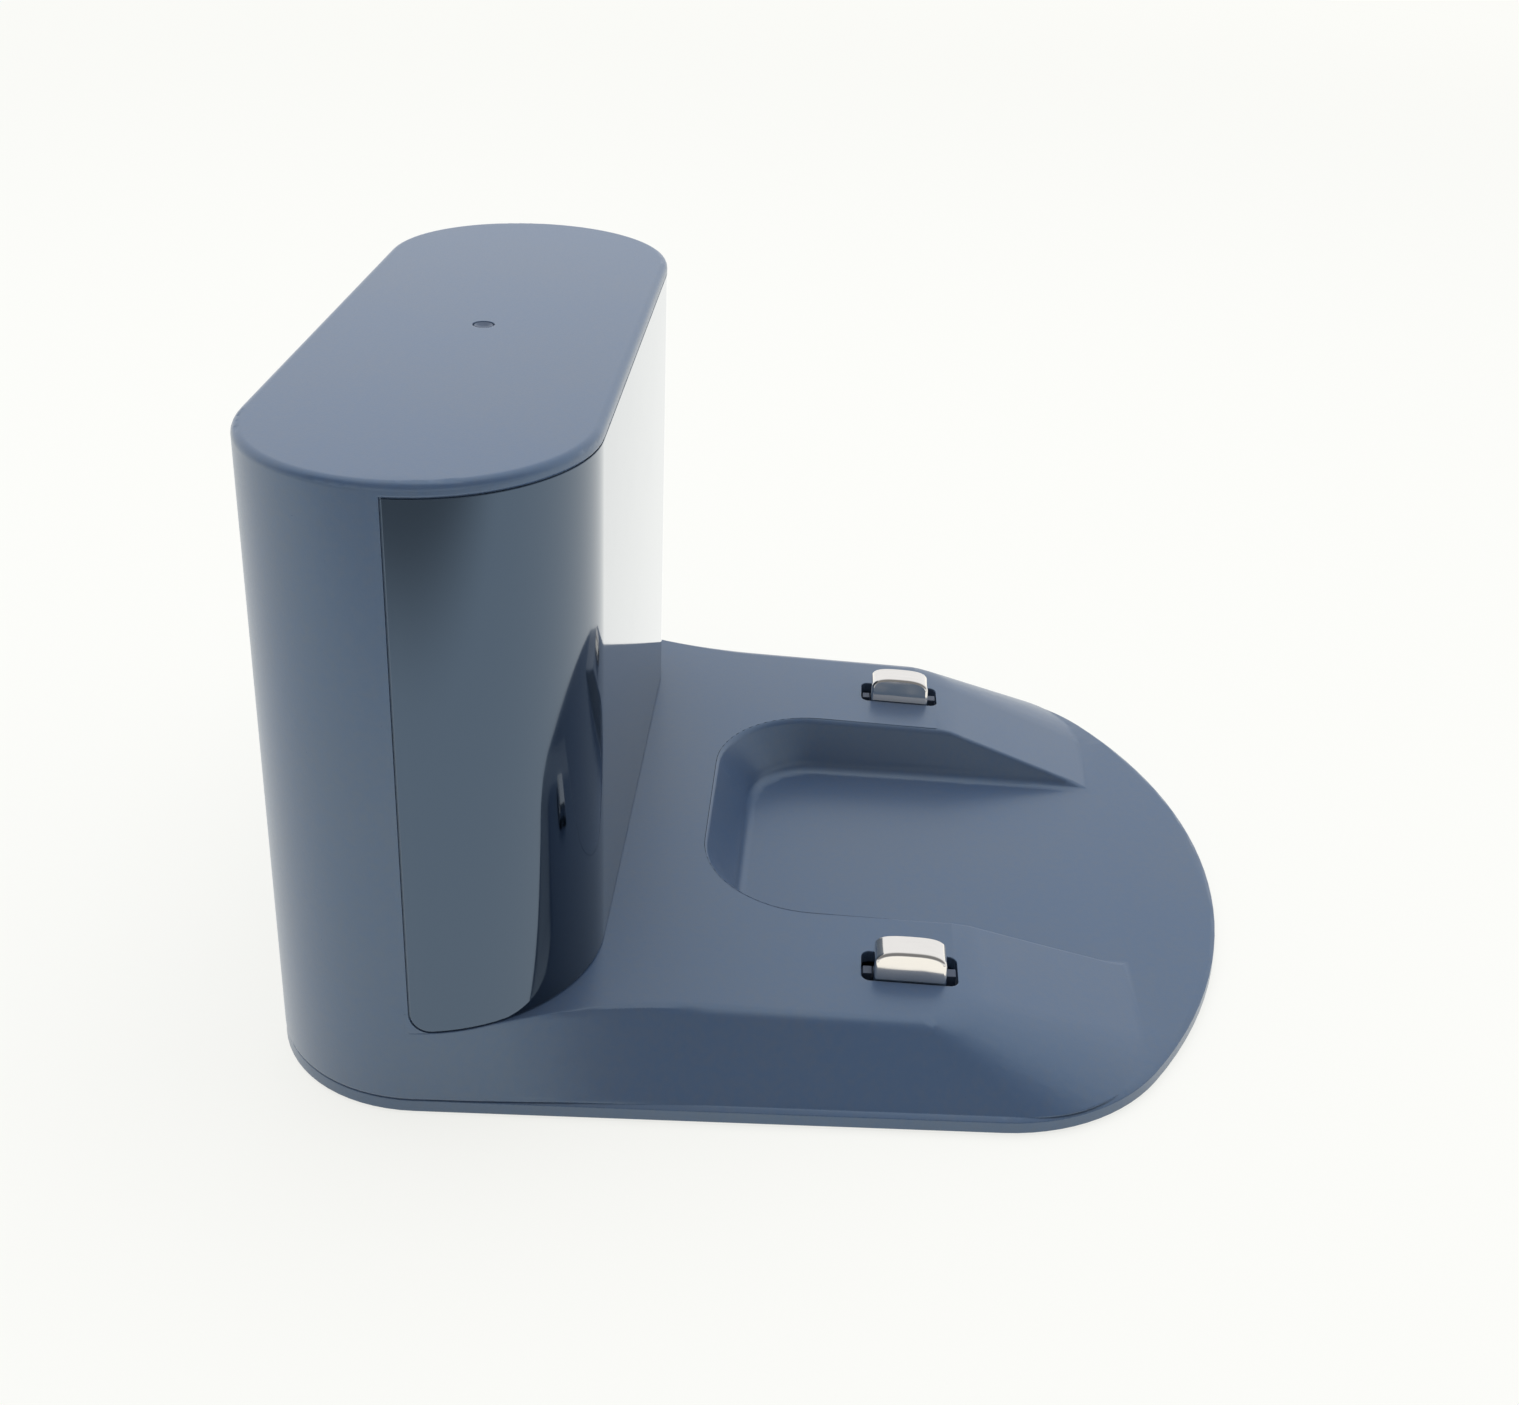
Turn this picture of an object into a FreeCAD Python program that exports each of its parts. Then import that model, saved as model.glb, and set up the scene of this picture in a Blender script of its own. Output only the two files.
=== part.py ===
# Charging dock for a robot vacuum: a low base with ramps and a recess, a tower with a polished
# front cover, sprung charging contacts, a cord bay behind a snap-off lid and the charger inside.
# Millimetres. X is across, +Y is the rear, +Z is up. The origin is under the middle, on the floor.
import FreeCAD, Part
import os
import re
import Sketcher

# Driving dimensions: name, value, meaning
SIZES = (
    ("dock_depth", 151.0, "nose to rear"),
    ("dock_width", 130.0, "across the base and the tower"),
    ("dock_height", 98.0, "floor to top"),
    ("tower_depth", 48.0, "front to rear of the tower"),
    ("wall_thickness", 2.0, "housing and cover walls"),
    ("seam_gap", 0.3, "gap round the cover and the lid"),
    ("top_plate", 1.8, "thickness of the tower's top"),
    ("top_edge", 1.2, "rounding of the top's upper edge"),
    ("foot_lift", 0.3, "housing above the floor"),
    ("rim_height", 2.7, "top of the nose plate above the floor"),
    ("rim_round", 0.8, "rounding of the rim"),
    ("nose_radius", 88.6, "front edge in plan"),
    ("nose_corner", 30.3, "front corners in plan"),
    ("deck_height", 14.5, "deck above the floor, at the tower"),
    ("deck_fall", 2.2, "fall of the deck from the tower to its front edge"),
    ("deck_width", 112.4, "ridge to ridge"),
    ("deck_setback", 46.0, "nose to the deck's front edge"),
    ("deck_corner", 8.0, "deck's front corners in plan"),
    ("deck_round", 1.1, "height of the rounding at the ridge"),
    ("flare_radius", 80.0, "ridge where it swings out to the tower"),
    ("ramp_setback", 18.0, "nose to the foot of the ramps"),
    ("ramp_corner", 20.0, "foot of the ramps in plan"),
    ("recess_width", 61.0, "recess at deck level"),
    ("recess_setback", 61.7, "rear of the dock to the recess"),
    ("recess_corner", 18.0, "recess corners at deck level"),
    ("recess_floor", 3.9, "recess floor at its rear edge"),
    ("recess_side_run", 2.3, "slope of the recess sides, across"),
    ("recess_rear_run", 4.7, "slope of the recess rear, along"),
    ("recess_round", 2.2, "rounding at the recess floor"),
    ("recess_edge", 0.8, "rounding at the recess mouth"),
    ("middle_room", 2.5, "cover seam to the tower's middle wall"),
    ("seam_corner", 3.0, "lower corners of the front cover"),
    ("clip_width", 8.0, "height of the cover's clip tongues"),
    ("clip_thickness", 1.4, "thickness of the cover's clip tongues"),
    ("clip_length", 13.0, "length of the cover's clip tongues"),
    ("clip_low", 30.0, "lower clips above the floor"),
    ("clip_high", 72.0, "upper clips above the floor"),
    ("plate_thickness", 1.0, "bottom cover"),
    ("plate_width", 116.0, "bottom cover across"),
    ("plate_front", 31.5, "nose to the bottom cover"),
    ("plate_rear", 6.5, "rear of the dock to the bottom cover"),
    ("plate_corner", 22.0, "bottom cover corners"),
    ("foot_radius", 6.0, "rubber feet"),
    ("foot_seat", 0.4, "depth of the seats of the feet"),
    ("foot_across", 88.0, "feet, side to side"),
    ("foot_rear", 18.0, "rear of the dock to the rear feet"),
    ("foot_front", 43.0, "nose to the front feet"),
    ("screw_radius", 1.2, "screw shanks"),
    ("screw_head", 2.6, "screw head radius"),
    ("screw_depth", 6.0, "screw shanks in their bosses"),
    ("head_height", 0.8, "thickness of the screw heads"),
    ("boss_radius", 3.0, "screw bosses"),
    ("fit_gap", 0.1, "clearance of fixed fits"),
    ("base_screw_across", 96.0, "bottom screws, side to side"),
    ("base_screw_rear", 32.0, "rear of the dock to the rear bottom screws"),
    ("base_screw_front", 23.1, "contacts to the front bottom screws"),
    ("duct_width", 88.0, "wire duct between tower and base"),
    ("duct_front", 6.5, "tower front to the wire duct"),
    ("duct_depth", 14.0, "wire duct along Y"),
    ("lid_width", 76.4, "rear lid across"),
    ("lid_height", 82.0, "rear lid"),
    ("lid_bottom", 8.0, "rear lid above the floor"),
    ("lid_corner", 4.0, "rear lid corners"),
    ("lid_thickness", 2.0, "rear lid"),
    ("lid_ledge", 2.0, "ledge that the lid rests on"),
    ("lid_tab_width", 10.0, "lid tabs across"),
    ("lid_tab_length", 6.0, "lid tabs along Y"),
    ("lid_tab_thickness", 1.5, "lid tabs"),
    ("lid_tab_spacing", 44.0, "lid tabs, centre to centre"),
    ("outlet_width", 7.0, "cord outlets in the lid"),
    ("outlet_height", 8.5, "cord outlets in the lid"),
    ("outlet_spacing", 56.0, "cord outlets, centre to centre"),
    ("grip_width", 22.0, "finger grip in the lid"),
    ("grip_height", 9.0, "finger grip in the lid"),
    ("grip_depth", 0.9, "finger grip in the lid"),
    ("inlet_height", 25.0, "mains inlet above the floor"),
    ("inlet_width", 20.0, "inlet body across"),
    ("inlet_tall", 12.0, "inlet body upright"),
    ("inlet_length", 16.0, "inlet body in front of its flange"),
    ("inlet_flange", 2.5, "flange round the inlet body"),
    ("inlet_lip", 1.6, "thickness of the flange"),
    ("socket_width", 15.8, "inlet socket across"),
    ("socket_tall", 7.2, "inlet socket upright"),
    ("socket_depth", 13.0, "inlet socket"),
    ("socket_corner", 3.5, "rounded ends of the socket"),
    ("pin_radius", 1.2, "inlet pins"),
    ("pin_spacing", 8.6, "inlet pins, centre to centre"),
    ("pin_length", 10.0, "inlet pins in the socket"),
    ("pin_tail", 4.0, "inlet pins behind the body"),
    ("board_width", 92.0, "main board across"),
    ("board_height", 48.0, "main board upright"),
    ("board_bottom", 36.0, "main board above the floor"),
    ("board_thickness", 1.6, "main board"),
    ("board_standoff", 6.4, "middle wall to the main board"),
    ("board_screw_across", 80.0, "board screws, side to side"),
    ("board_screw_edge", 8.0, "board screws from the upper and lower edges"),
    ("core_width", 24.0, "transformer core across"),
    ("core_height", 22.0, "transformer core upright"),
    ("core_limb", 4.5, "limbs of the transformer core"),
    ("core_depth", 9.0, "transformer core along Y"),
    ("winding_gap", 2.0, "transformer winding to the inside of the front cover"),
    ("bobbin_base", 1.5, "bobbin foot"),
    ("transformer_x", -22.0, "transformer from the middle"),
    ("transformer_z", 55.0, "transformer above the floor"),
    ("bulk_radius", 5.0, "input capacitor"),
    ("bulk_length", 14.0, "input capacitor"),
    ("bulk_x", 4.0, "input capacitor from the middle"),
    ("bulk_z", 51.0, "input capacitor above the floor"),
    ("output_radius", 4.0, "output capacitor"),
    ("output_length", 12.0, "output capacitor"),
    ("output_x", 18.0, "output capacitor from the middle"),
    ("output_z", 47.0, "output capacitor above the floor"),
    ("can_edge", 0.8, "bevel of the capacitor cans"),
    ("film_width", 13.0, "safety capacitor across"),
    ("film_height", 6.0, "safety capacitor upright"),
    ("film_depth", 11.0, "safety capacitor along Y"),
    ("film_x", 33.0, "safety capacitor from the middle"),
    ("film_z", 66.0, "safety capacitor above the floor"),
    ("film_edge", 0.7, "rounding of the safety capacitor"),
    ("fuse_radius", 2.5, "fuse"),
    ("fuse_length", 15.0, "fuse"),
    ("fuse_cap", 4.0, "end caps of the fuse"),
    ("fuse_x", 33.0, "fuse from the middle"),
    ("fuse_z", 56.0, "fuse above the floor"),
    ("sink_width", 18.0, "heat sink across"),
    ("sink_plate", 1.5, "heat sink plate"),
    ("sink_fin", 1.2, "heat sink fins"),
    ("sink_fin_height", 4.0, "heat sink fins"),
    ("sink_depth", 13.0, "heat sink along Y"),
    ("sink_x", 8.0, "heat sink from the middle"),
    ("sink_z", 63.5, "heat sink above the floor"),
    ("device_width", 10.0, "power transistor across"),
    ("device_thickness", 4.5, "power transistor"),
    ("device_depth", 10.0, "power transistor along Y"),
    ("device_legs", 2.0, "legs of the power transistor"),
    ("holder_width", 42.0, "emitter holder across"),
    ("holder_height", 9.0, "emitter holder upright"),
    ("holder_depth", 14.0, "emitter holder along Y"),
    ("holder_z", 77.0, "emitter holder above the floor"),
    ("emitter_radius", 2.5, "infrared emitters"),
    ("emitter_body", 5.0, "straight part of the emitters"),
    ("emitter_spacing", 14.0, "infrared emitters, centre to centre"),
    ("emitter_depth", 6.0, "bores in the emitter holder"),
    ("light_radius", 1.6, "light pipe"),
    ("light_flange", 2.4, "flange of the light pipe"),
    ("light_flange_height", 1.2, "flange of the light pipe"),
    ("light_dish", 0.25, "light pipe below the top"),
    ("status_height", 5.0, "status light source"),
    ("contact_spacing", 86.8, "contacts, centre to centre"),
    ("contact_setback", 55.9, "nose to the contacts"),
    ("contact_rise", 4.5, "contacts above the deck"),
    ("cap_length", 11.4, "contact cap along Y, at the deck"),
    ("cap_width", 6.6, "contact cap across, at the deck"),
    ("cap_top_length", 11.2, "contact cap along Y, at its top"),
    ("cap_top_width", 4.6, "contact cap across, at its top"),
    ("cap_round", 2.0, "rounded ends of the contact cap"),
    ("cap_sheet", 0.5, "sheet of the contact cap"),
    ("slot_length", 15.0, "contact slot along Y"),
    ("slot_width", 7.2, "contact slot across"),
    ("slot_corner", 1.4, "contact slot corners"),
    ("foot_overlap", 0.9, "carrier foot beyond the slot's ends"),
    ("carrier_foot", 1.8, "thickness of the contact carrier's foot"),
    ("hook_width", 1.8, "carrier hooks in the slot's ends, across"),
    ("hook_drop", 0.5, "carrier hooks below the deck"),
    ("spring_radius", 1.4, "contact spring, to the middle of its wire"),
    ("spring_wire", 0.5, "contact spring wire"),
    ("spring_turns", 3.5, "contact spring"),
    ("bore_radius", 1.9, "spring bore in the carrier"),
    ("bore_depth", 3.0, "spring bore in the carrier"),
    ("terminal_size", 8.0, "contact terminal plate"),
    ("terminal_sheet", 0.4, "contact terminal plate"),
    ("post_radius", 0.9, "post inside the spring"),
    ("post_height", 2.5, "post inside the spring"),
    ("lead_radius", 0.7, "contact leads"),
    ("lead_bend", 6.0, "bend of the contact leads"),
    ("lead_inset", 4.4, "contacts to their leads, across"),
    ("lead_overlap", 4.0, "leads beside the board and the terminals"),
    ("mains_radius", 0.9, "mains leads"),
    ("mains_bend", 4.0, "bend of the mains leads"),
    ("mains_rise", 11.0, "mains leads above the inlet pins"),
)

DOC = FreeCAD.newDocument("charging_dock")
DIMS = DOC.addObject("Spreadsheet::Sheet", "dims")
for row, (alias, number, meaning) in enumerate(SIZES, start=1):
    DIMS.set("A%d" % row, meaning)
    DIMS.set("B%d" % row, str(number))
    DIMS.setAlias("B%d" % row, alias)
DOC.recompute()

PIECES = []

# Places worked out from the driving dimensions
REAR = "(dock_depth / 2)"
NOSE = "(-dock_depth / 2)"
HALF = "(dock_width / 2)"
END = "(tower_depth / 2)"
MIDDLE = "(dock_depth / 2 - tower_depth / 2)"
FRONT = "(dock_depth / 2 - tower_depth)"
END_X = "(dock_width / 2 - tower_depth / 2)"
WALL_FRONT = f"({MIDDLE} + middle_room)"
WALL_REAR = f"({WALL_FRONT} + wall_thickness)"
TOP_UNDER = "(dock_height - top_plate)"
COVER_LOW = "(deck_height + seam_gap)"
COVER_TOP = f"({TOP_UNDER} - seam_gap)"
PLATE_TOP = "(foot_lift + plate_thickness)"
SEAT_TOP = f"({PLATE_TOP} + fit_gap)"
BOARD_REAR = f"({WALL_FRONT} - board_standoff)"
BOARD_FRONT = f"({BOARD_REAR} - board_thickness)"
RAMP_FOOT = f"({NOSE} + ramp_setback)"
SHOULDER = f"({NOSE} + deck_setback)"
RECESS_REAR = f"({REAR} - recess_setback)"
FLOOR_REAR = f"({RECESS_REAR} - recess_rear_run)"
SLOPE = f"(deck_fall / ({FRONT} - {SHOULDER}))"
TERMINAL_TOP = f"({PLATE_TOP} + terminal_sheet)"


def deck_at(along):
    """The height of the deck at a place along Y: level at the tower, falling in front of it."""
    return f"(deck_height + min(0; {along} - {FRONT}) * {SLOPE})"


def down_deck(along):
    """A place along Y, measured on the slope from the tower's front."""
    return f"(({along} - {FRONT}) * sqrt(1 + {SLOPE} ^ 2))"


CONTACT_Y = f"({NOSE} + contact_setback)"
CONTACT_FRONT = f"({CONTACT_Y} - slot_length / 2 - foot_overlap)"
CONTACT_DECK = deck_at(CONTACT_Y)
CAP_TOP = f"({CONTACT_DECK} + contact_rise)"
CAP_LOW = f"({deck_at(CONTACT_FRONT)} - wall_thickness - seam_gap)"
CARRIER_LOW = f"({CAP_LOW} - carrier_foot)"


def bound(text):
    """Writes the sheet's name before each of its cells in an expression."""
    return re.sub(r"\b([a-z]+(?:_[a-z]+)+)\b", r"dims.\1", text)


def value(text):
    """Works out an expression."""
    result = DIMS.evalExpression(bound(text))
    return float(getattr(result, "Value", result))


def tie(feature, name, text):
    """Binds a property of a feature to an expression."""
    feature.setExpression(name, bound(text))


def new_body(name):
    """A body that becomes one piece of the dock."""
    body = DOC.addObject("PartDesign::Body", name)
    PIECES.append(body)
    return body


def new_sketch(body, name, plane, height):
    """A sketch parallel to an origin plane, moved along the plane's normal."""
    sketch = body.newObject("Sketcher::SketchObject", name)
    support = [item for item in body.Origin.OriginFeatures if item.Role == plane][0]
    sketch.AttachmentSupport = [(support, "")]
    sketch.MapMode = "FlatFace"
    tie(sketch, "AttachmentOffset.Base.z", height)
    return sketch


def level(body, name, height):
    """A level sketch at a height."""
    return new_sketch(body, name, "XY_Plane", height)


def upright(body, name, depth):
    """A sketch that faces the nose, at a depth along Y; its normal is -Y."""
    return new_sketch(body, name, "XZ_Plane", f"-{depth}")


def sideways(body, name, across):
    """A sketch that faces +X; its first axis is Y and its second Z."""
    return new_sketch(body, name, "YZ_Plane", across)


def tilted(body, name, height, along, slope):
    """A sketch that rises towards the rear, from a height at a place along Y."""
    sketch = level(body, name, height)
    turned = FreeCAD.Placement(sketch.AttachmentOffset)
    turned.Rotation = FreeCAD.Rotation(FreeCAD.Vector(1, 0, 0), 1)
    sketch.AttachmentOffset = turned
    tie(sketch, "AttachmentOffset.Base.y", along)
    tie(sketch, "AttachmentOffset.Rotation.Angle", f"atan({slope})")
    return sketch


def on_deck(body, name, rise):
    """A sketch parallel to the sloping deck, higher by a rise."""
    return tilted(body, name, f"deck_height + {rise}", FRONT, SLOPE)


def measure(sketch, kind, refs, text):
    """Adds a dimension that follows an expression."""
    number = sketch.addConstraint(Sketcher.Constraint(kind, *refs, value(text)))
    sketch.setExpression("Constraints[%d]" % number, bound(text))


def arc_between(start, end, radius, turn):
    """The short arc from start to end, turning left for +1 and right for -1."""
    chord = end - start
    middle = (start + end) * 0.5
    rise = max(radius ** 2 - (chord.Length / 2) ** 2, 0.0) ** 0.5
    left = FreeCAD.Vector(-chord.y, chord.x, 0).normalize()
    centre = middle + left * (rise * turn)
    top = centre - left * (radius * turn)
    return Part.Arc(start, top, end)


def outline(sketch, points, closed=True):
    """An outline through (x, y), or (x, y, radius, turn) for an arc that ends there."""
    count = len(points)
    runs = count if closed else count - 1
    places = [FreeCAD.Vector(value(point[0]), value(point[1]), 0) for point in points]
    ends = []
    for index in range(runs):
        following = (index + 1) % count
        start, end = places[index], places[following]
        if len(points[following]) == 2:
            number = sketch.addGeometry(Part.LineSegment(start, end))
            ends.append((number, 1, 2))
            continue
        radius, turn = points[following][2:]
        number = sketch.addGeometry(arc_between(start, end, value(radius), turn))
        ends.append((number, 1, 2) if turn > 0 else (number, 2, 1))
        measure(sketch, "Radius", (number,), radius)
    corners = [(number, first) for number, first, _ in ends]
    if not closed:
        corners.append((ends[-1][0], ends[-1][2]))
    for (number, _, last), corner in zip(ends, corners[1:] + corners[:1]):
        if corner[0] != number:
            sketch.addConstraint(Sketcher.Constraint("Coincident", number, last, *corner))
    for corner, point in zip(corners, points):
        measure(sketch, "DistanceX", (-1, 1, *corner), point[0])
        measure(sketch, "DistanceY", (-1, 1, *corner), point[1])
    return sketch


def rectangle(sketch, left, right, low, high):
    """A rectangle from its four sides."""
    return outline(sketch, [(right, high), (left, high), (left, low), (right, low)])


def rounded(sketch, left, right, low, high, radius):
    """A rectangle with rounded corners."""
    return outline(sketch, [
        (f"{right} - {radius}", high),
        (f"{left} + {radius}", high),
        (left, f"{high} - {radius}", radius, 1),
        (left, f"{low} + {radius}"),
        (f"{left} + {radius}", low, radius, 1),
        (f"{right} - {radius}", low),
        (right, f"{low} + {radius}", radius, 1),
        (right, f"{high} - {radius}"),
        (f"{right} - {radius}", high, radius, 1),
    ][1:])


def circles(sketch, places, radius):
    """Circles of one radius."""
    for across, up in places:
        centre = FreeCAD.Vector(value(across), value(up), 0)
        circle = Part.Circle(centre, FreeCAD.Vector(0, 0, 1), value(radius))
        number = sketch.addGeometry(circle)
        measure(sketch, "Radius", (number,), radius)
        measure(sketch, "DistanceX", (-1, 1, number, 3), across)
        measure(sketch, "DistanceY", (-1, 1, number, 3), up)
    return sketch


def pad(body, sketch, length, back=False):
    """Adds material along the sketch's normal, or against it."""
    feature = body.newObject("PartDesign::Pad", sketch.Name + "_pad")
    feature.Profile = sketch
    feature.Reversed = back
    tie(feature, "Length", length)
    DOC.recompute()
    return feature


def pocket(body, sketch, length, along=False):
    """Cuts against the sketch's normal, or along it, and checks that something was cut."""
    before = body.Shape.Volume
    feature = body.newObject("PartDesign::Pocket", sketch.Name + "_pocket")
    feature.Profile = sketch
    feature.Reversed = along
    tie(feature, "Length", length)
    DOC.recompute()
    if not body.Shape.Volume < before:
        raise RuntimeError(feature.Name + " cuts nothing")
    return feature


def loft(body, sketches, kind="PartDesign::AdditiveLoft"):
    """A body with straight rulings between level outlines."""
    feature = body.newObject(kind, sketches[0].Name + "_loft")
    feature.Profile = sketches[0]
    feature.Sections = sketches[1:]
    feature.Ruled = True
    DOC.recompute()
    return feature


def soften(body, kind, size, chosen):
    """Rounds or bevels the edges whose middle passes a test."""
    names = []
    for number, edge in enumerate(body.Shape.Edges, start=1):
        if chosen(edge.CenterOfMass):
            names.append("Edge%d" % number)
    if not names:
        raise RuntimeError("no edges to soften on " + body.Name)
    feature = body.newObject("PartDesign::" + kind, body.Name + "_edges")
    feature.Base = (feature.BaseFeature, names)
    tie(feature, "Radius" if kind == "Fillet" else "Size", size)
    DOC.recompute()
    return feature


def near(number, text):
    """Whether a place lies at an expression's value."""
    return abs(number - value(text)) < 0.01


def solid(kind, name, sizes, place, turn=None):
    """A primitive with its sizes and its place bound to expressions."""
    item = DOC.addObject(kind, name)
    if turn:
        item.Placement.Rotation = FreeCAD.Rotation(FreeCAD.Vector(*turn[:3]), turn[3])
    for prop, text in sizes.items():
        tie(item, prop, text)
    for axis, text in zip("xyz", place):
        tie(item, "Placement.Base." + axis, text)
    return item


TO_NOSE = (1, 0, 0, 90)
TO_REAR = (1, 0, 0, -90)
TO_SIDE = (0, 1, 0, 90)


def rod(name, radius, length, place, turn=None):
    """A cylinder that starts at a place."""
    return solid("Part::Cylinder", name, {"Radius": radius, "Height": length}, place, turn)


def block(name, width, depth, height, place):
    """A block from its lowest corner."""
    sizes = {"Length": width, "Width": depth, "Height": height}
    return solid("Part::Box", name, sizes, place)


def joined(name, items):
    """Several solids as one."""
    item = DOC.addObject("Part::MultiFuse", name)
    item.Shapes = items
    return item


def together(name, items):
    """Separate solids that share a piece's name."""
    item = DOC.addObject("Part::Compound", name)
    item.Links = items
    PIECES.append(item)
    return item


# Upper housing
CORNER_X = "(dock_width / 2 - nose_corner)"
NOSE_CENTRE = "(nose_radius - dock_depth / 2)"
CORNER_DROP = f"sqrt((nose_radius - nose_corner) ^ 2 - {CORNER_X} ^ 2)"
CORNER_Y = f"({NOSE_CENTRE} - {CORNER_DROP})"
FLARE_RUN = f"(deck_width / 2 + flare_radius - {END_X})"
FLARE_DROP = f"sqrt(({END} + flare_radius) ^ 2 - {FLARE_RUN} ^ 2)"
FLARE_LOW = f"({MIDDLE} - {FLARE_DROP})"
FLARE_X = f"({END_X} + {END} * {FLARE_RUN} / ({END} + flare_radius))"
FLARE_Y = f"({MIDDLE} - {END} * {FLARE_DROP} / ({END} + flare_radius))"


# Steps of a quarter round: rise and inset as shares of its radius
QUARTER_ROUND = ((0, 1), (0.134, 0.5), (0.5, 0.134), (1, 0))


def base_outline(sketch, inset):
    """The base in plan: round nose, straight sides, half-round rear ends."""
    side = f"({HALF} - {inset})"
    end = f"({END} - {inset})"
    corner = f"(nose_corner - {inset})"
    reach = f"((nose_radius - {inset}) / (nose_radius - nose_corner))"
    touch_x = f"({CORNER_X} * {reach})"
    touch_y = f"({NOSE_CENTRE} - {CORNER_DROP} * {reach})"
    return outline(sketch, [
        (END_X, f"{REAR} - {inset}", end, 1),
        (f"-{END_X}", f"{REAR} - {inset}"),
        (f"-{side}", MIDDLE, end, 1),
        (f"-{side}", CORNER_Y),
        (f"-{touch_x}", touch_y, corner, 1),
        (touch_x, touch_y, f"(nose_radius - {inset})", 1),
        (side, CORNER_Y, corner, 1),
        (side, MIDDLE),
    ])


def deck_outline(sketch, side, front, corner, end_x, place=str, straight=False):
    """The raised block in plan, from the tower's middle to the ramps."""
    rear, flare, low = place(MIDDLE), place(FLARE_Y), place(FLARE_LOW)
    edge = place(front)

    def swing(across, along, radius, turn):
        return (across, along) if straight else (across, along, radius, turn)
    return outline(sketch, [
        swing(HALF, rear, END, 1),
        (f"-{HALF}", rear),
        swing(f"-{end_x}", flare, END, 1),
        swing(f"-{side}", low, "flare_radius", -1),
        (f"-{side}", f"{edge} + {corner}"),
        (f"-({side} - {corner})", edge, corner, 1),
        (f"{side} - {corner}", edge),
        (side, f"{edge} + {corner}", corner, 1),
        (side, low),
        swing(end_x, flare, "flare_radius", -1),
    ])


def recess_outline(sketch, half, rear, corner, front):
    """The recess in plan, open towards the nose."""
    return outline(sketch, [
        (f"{half} - {corner}", rear, corner, 1),
        (f"-({half} - {corner})", rear),
        (f"-{half}", f"{rear} - {corner}", corner, 1),
        (f"-{half}", front),
        (half, front),
        (half, f"{rear} - {corner}"),
    ])


def half_stadium(sketch, end, rear, front_edge):
    """The rear half of the tower in plan."""
    return outline(sketch, [
        (END_X, rear, end, 1),
        (f"-{END_X}", rear),
        (f"-({END_X} + {end})", front_edge, end, 1),
        (f"{END_X} + {end}", front_edge),
    ])


def nose_plate(body):
    """The low plate with its rounded rim, which runs under the whole dock."""
    steps = (("foot_lift", "0.3 * rim_round"), ("foot_lift + 0.3 * rim_round", "0 * rim_round"),
             ("rim_height - 0.5 * rim_round", "0.14 * rim_round"), ("rim_height", "rim_round"))
    sections = []
    for number, (height, inset) in enumerate(steps):
        sketch = level(body, "rim_%d" % number, height)
        sections.append(base_outline(sketch, f"({inset})"))
    loft(body, sections)


def raised_block(body):
    """The deck with sloping sides and ramps, softly rounded at the ridge."""
    low_side = f"({HALF} - 1.25 * rim_round)"
    rise = "((deck_height - deck_round - rim_height) / (deck_height - rim_height))"
    wall_side = f"({low_side} + (deck_width / 2 - {low_side}) * {rise})"
    wall_front = f"({RAMP_FOOT} + ({SHOULDER} - {RAMP_FOOT}) * {rise})"
    wall_corner = f"(ramp_corner + (deck_corner - ramp_corner) * {rise})"
    wall_end = f"({HALF} + ({FLARE_X} - {HALF}) * {rise})"
    ridge_side = "(deck_width / 2 - 0.13 * deck_round)"
    top_side = "(deck_width / 2 - 1.3 * deck_round)"
    top_front = f"({SHOULDER} + 2.6 * deck_round)"
    low = level(body, "block_foot", "rim_height")
    deck_outline(low, low_side, RAMP_FOOT, "ramp_corner", f"({HALF} - fit_gap)", straight=True)
    wall = on_deck(body, "block_wall", "-deck_round")
    deck_outline(wall, wall_side, wall_front, wall_corner, wall_end, down_deck)
    ridge = on_deck(body, "block_ridge", "-0.27 * deck_round")
    deck_outline(ridge, ridge_side, SHOULDER, "deck_corner", FLARE_X, down_deck)
    top = on_deck(body, "block_deck", "0 * deck_round")
    deck_outline(top, top_side, top_front, "(deck_corner - deck_round)", FLARE_X, down_deck)
    loft(body, [low, wall, ridge, top])
    foot = level(body, "tower_foot", "deck_height")
    rectangle(foot, f"-({HALF} + wall_thickness)", f"{HALF} + wall_thickness",
              f"{FRONT} - wall_thickness", f"{MIDDLE} + wall_thickness")
    pocket(body, foot, f"2 * {END} * {SLOPE}", along=True)


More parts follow.
